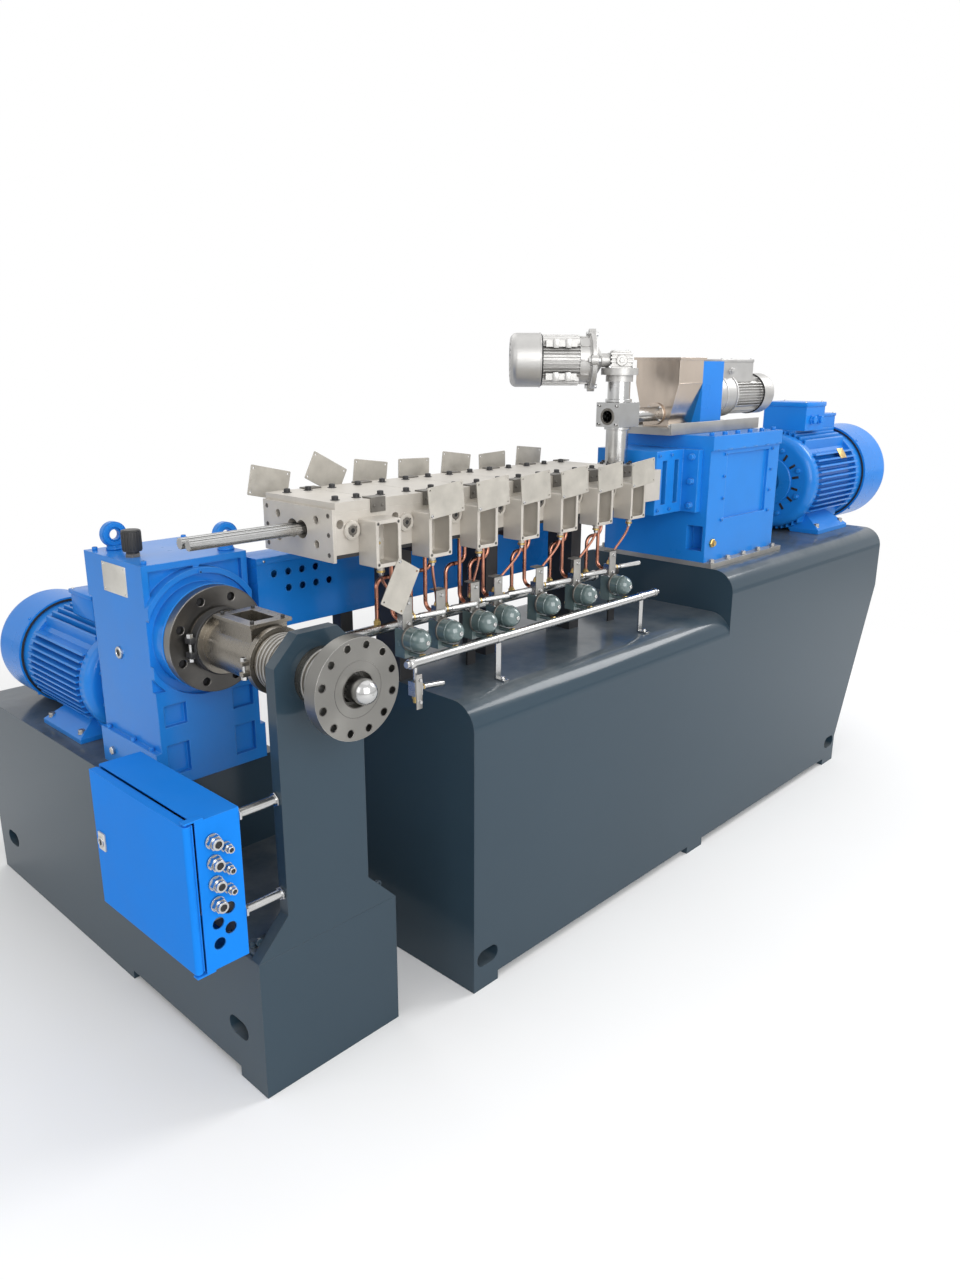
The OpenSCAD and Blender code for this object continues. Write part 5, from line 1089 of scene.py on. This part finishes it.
# Near-black slot in the lock: painted shade in its keyway.
d.block(lock + mm(-7.8, -1.5, -7), lock + mm(-5.8, 1.5, 7), HOLLOW_SHADE, edge=0.4)
inner = door_hi.x + FOLD
fold_lo = T(door_hi.x - 0.5, door_lo.y + 4.5, door_lo.z + 0.8)
d.block(fold_lo, T(inner, door_hi.y - 0.8, door_hi.z - 0.8), POWDER, edge=0.8)
y0, y1, z0, z1 = door_lo.y + 22, door_hi.y - 8, door_lo.z + 9, door_hi.z - 9
loop = [(y0, z0), (y1, z0), (y1, z1), (y0, z1)]
points = []
for (ya, za), (yb, zb) in zip(loop, loop[1:] + loop[:1]):
    for k in range(GASKET_STEPS):
        u = k / GASKET_STEPS
        points.append(T(inner - 0.4, ya + (yb - ya) * u, za + (zb - za) * u))
d.tube(points, 1.6, RUBBER, sides=8, closed=True)
d.piece("door_lock", "box_door")

TERMINAL_PITCH, SWITCH_PITCH = 11.6, 68
back = cab_hi.x - 3
d.block(T(back - 9, cab_lo.y + 28, CAB_Z0 + 26), T(back - 6.5, cab_hi.y - 28, CAB_Z1 - 26), RAW, edge=0.6)
for y, z in product((cab_lo.y + 40, cab_hi.y - 40), (CAB_Z0 + 38, CAB_Z1 - 38)):
    d.turned(T(back, y, z), LEFT, [(5, 0), (5, 10), (0, 10)], CHROME, sides=14)
    d.hex_bolt(T(back - 9, y, z), LEFT, 9)
for z in (CAB_Z0 + 90, CAB_Z0 + 215):
    d.block(T(back - 16, cab_lo.y + 46, z - 17), T(back - 9, cab_hi.y - 46, z + 17), CHROME, edge=0.8)
for k in range(24):
    y = cab_lo.y + 62 + k * TERMINAL_PITCH
    d.block(T(back - 44, y, CAB_Z0 + 66), T(back - 16, y + 10.6, CAB_Z0 + 114), CERAMIC, edge=1.2)
    for z in (74, 106):
        d.turned(T(back - 44, y + 5.3, CAB_Z0 + z), LEFT, [(3.2, 0), (3.0, 0.8), (0, 0.8)], BRASS, sides=10)
for k in range(4):
    y = cab_lo.y + 64 + k * SWITCH_PITCH
    d.block(T(back - 72, y, CAB_Z0 + 176), T(back - 16, y + 52, CAB_Z0 + 254), PLASTIC, edge=2.5)
    d.block(T(back - 76, y + 9, CAB_Z0 + 198), T(back - 72, y + 43, CAB_Z0 + 232), PLASTIC, edge=1.2)
    for j, z in product(range(3), (184, 246)):
        screw = T(back - 72, y + 12 + 14 * j, CAB_Z0 + z)
        d.turned(screw, LEFT, [(3.4, 0), (3.0, 0.9), (0, 0.9)], BRASS, sides=10)
d.piece("junction_box_inside")

# Two columns of cable entries: distance from the box's front and height of the top entry, as parts of its size
ENTRY_COLUMNS = ((0.34, 0.85), (0.62, 0.785))
ENTRY_PITCH = 46


def entry(column, i, out):
    """Middle of one cable entry, at a distance outside the box's near side."""
    part, top = ENTRY_COLUMNS[column]
    return T(CAB_X0 + part * CAB_D, cab_lo.y - out, CAB_Z0 + top * CAB_H - i * ENTRY_PITCH)


for column, count, size in ((0, 4, 26), (1, 3, 16)):
    for i in range(count):
        p = entry(column, i, 24)
        d.ring(p, NEAR, 0.30 * size, 0.46 * size, 2.2, CHROME, edge=0.5)
        # Near-black disc inside each gland: painted shade in the cable entry.
        d.turned(p, NEAR, [(0.30 * size, -0.1), (0.29 * size, 0.35), (0, 0.35)], HOLLOW_SHADE, sides=24)
        d.ring(p + FAR * 9 * MM, NEAR, 0.44 * size, 0.50 * size, 2.0, RUBBER, edge=0.4)
d.piece("gland_ends")

for column, i in ((0, 4), (0, 5), (1, 3), (1, 4)):
    d.ring(entry(column, i, -0.2), NEAR, 13.0, 14.0, 0.5, BLUE, sides=32, edge=0.2)
for z in (CAB_Z0 + 0.29 * CAB_H, CAB_Z0 + 0.94 * CAB_H):
    for x, axis in ((cab_hi.x, RIGHT), (col_lo.x + 80, LEFT)):
        d.ring(T(x, col_hi.y - 10, z), axis, 10.1, 16, 5, CHROME, sides=6, edge=0.8)
d.piece("rod_nuts")


# Floor, light and camera

WHITE = (1, 1, 1, 1)
FLOOR_HALF = 30
FLOOR_DROP = 0.0005
SKY_LIT, SKY_SEEN = 0.55, 1.0


def make_floor():
    """Pale floor that keeps the shadow near the machine and runs out to white."""
    mesh = bpy.data.meshes.new("floor")
    bm = bmesh.new()
    bmesh.ops.create_grid(bm, x_segments=4, y_segments=4, size=FLOOR_HALF)
    bm.to_mesh(mesh)
    bm.free()
    floor = bpy.data.objects.new("floor", mesh)
    scene.collection.objects.link(floor)
    floor.location.z = -FLOOR_DROP
    m, tree, shader = new_material("pale_floor")
    place = node(tree, "ShaderNodeTexCoord").outputs["Object"]
    patches = node(tree, "ShaderNodeTexNoise", {"Vector": place}, Scale=0.7, Detail=3.0)
    tone = ramp(tree, patches.outputs[0], [(0.3, (0.90, 0.90, 0.90, 1)), (0.7, (0.93, 0.93, 0.93, 1))])
    tree.links.new(tone, shader.inputs["Base Color"])
    shader.inputs["Roughness"].default_value = 0.9
    shader.inputs["Specular IOR Level"].default_value = 0.1
    away = node(tree, "ShaderNodeVectorMath", {0: place}, operation="LENGTH").outputs[1]
    seen = node(tree, "ShaderNodeLightPath").outputs["Is Camera Ray"]
    plain = times(tree, seen, map_range(tree, away, 2.2, 3.6, 0.0, 1.0))
    white = node(tree, "ShaderNodeEmission", Color=WHITE, Strength=1.0)
    blend = node(tree, "ShaderNodeMixShader", {0: plain, 1: shader.outputs[0], 2: white.outputs[0]})
    out = next(n for n in tree.nodes if n.type == "OUTPUT_MATERIAL")
    tree.links.new(blend.outputs[0], out.inputs[0])
    mesh.materials.append(m)


def make_world():
    """White all round, dimmer as a light than as it is seen or mirrored."""
    world = bpy.data.worlds.new("studio")
    scene.world = world
    world.use_nodes = True
    tree = world.node_tree
    tree.nodes.clear()
    rays = node(tree, "ShaderNodeLightPath").outputs
    links = {0: rays["Is Camera Ray"], 1: rays["Is Transmission Ray"]}
    seen = node(tree, "ShaderNodeMath", links, operation="MAXIMUM").outputs[0]
    seen = node(tree, "ShaderNodeMath", {0: seen, 1: rays["Is Glossy Ray"]}, operation="MAXIMUM").outputs[0]
    sky = node(tree, "ShaderNodeBackground", {1: map_range(tree, seen, 0.0, 1.0, SKY_LIT, SKY_SEEN)}, Color=WHITE)
    node(tree, "ShaderNodeOutputWorld", {0: sky.outputs[0]})


# Place, size in metres and power in watts of each lamp
LAMPS = (
    ("key", T(-1500, -4600, 3000), 4.0, 225),
    ("side", T(-4800, 900, 3200), 3.5, 52),
    ("top", T(1200, 600, 5200), 4.5, 28),
    ("window", T(4700, -1500, 4100), 2.0, 110),
    ("back", T(1800, 4200, 4600), 3.0, 32),
)
LAMPS_AIM = T(700, 350, 800)

make_floor()
make_world()
for name, place, size, power in LAMPS:
    light = bpy.data.lights.new(name, "AREA")
    light.size = size
    light.energy = power
    lamp = bpy.data.objects.new(name, light)
    scene.collection.objects.link(lamp)
    lamp.location = place
    lamp.rotation_euler = (LAMPS_AIM - place).to_track_quat("-Z", "Y").to_euler()

# The photograph's own viewpoint: eye height 1.55 m, 950 pixels of focal length on a 960 by 1280 picture
FOCAL, TALL = 950, 1280
SENSOR = 36
EYE = T(-1494, -1446, 1550)
yaw, pitch, roll = radians(46.28), radians(16.27), radians(-0.18)
ahead = Vector((sin(yaw) * cos(pitch), cos(yaw) * cos(pitch), -sin(pitch)))
level = Vector((cos(yaw), -sin(yaw), 0))
drop = ahead.cross(level)
across = level * cos(roll) + drop * sin(roll)
down = drop * cos(roll) - level * sin(roll)
lens = bpy.data.cameras.new("photo_view")
lens.sensor_width = SENSOR
lens.lens = FOCAL / TALL * SENSOR
lens.clip_end = 100
camera = bpy.data.objects.new("photo_view", lens)
scene.collection.objects.link(camera)
camera.matrix_world = Matrix((
    (across.x, -down.x, -ahead.x, EYE.x),
    (across.y, -down.y, -ahead.y, EYE.y),
    (across.z, -down.z, -ahead.z, EYE.z),
    (0, 0, 0, 1),
))
scene.camera = camera
scene.view_settings.view_transform = "Standard"
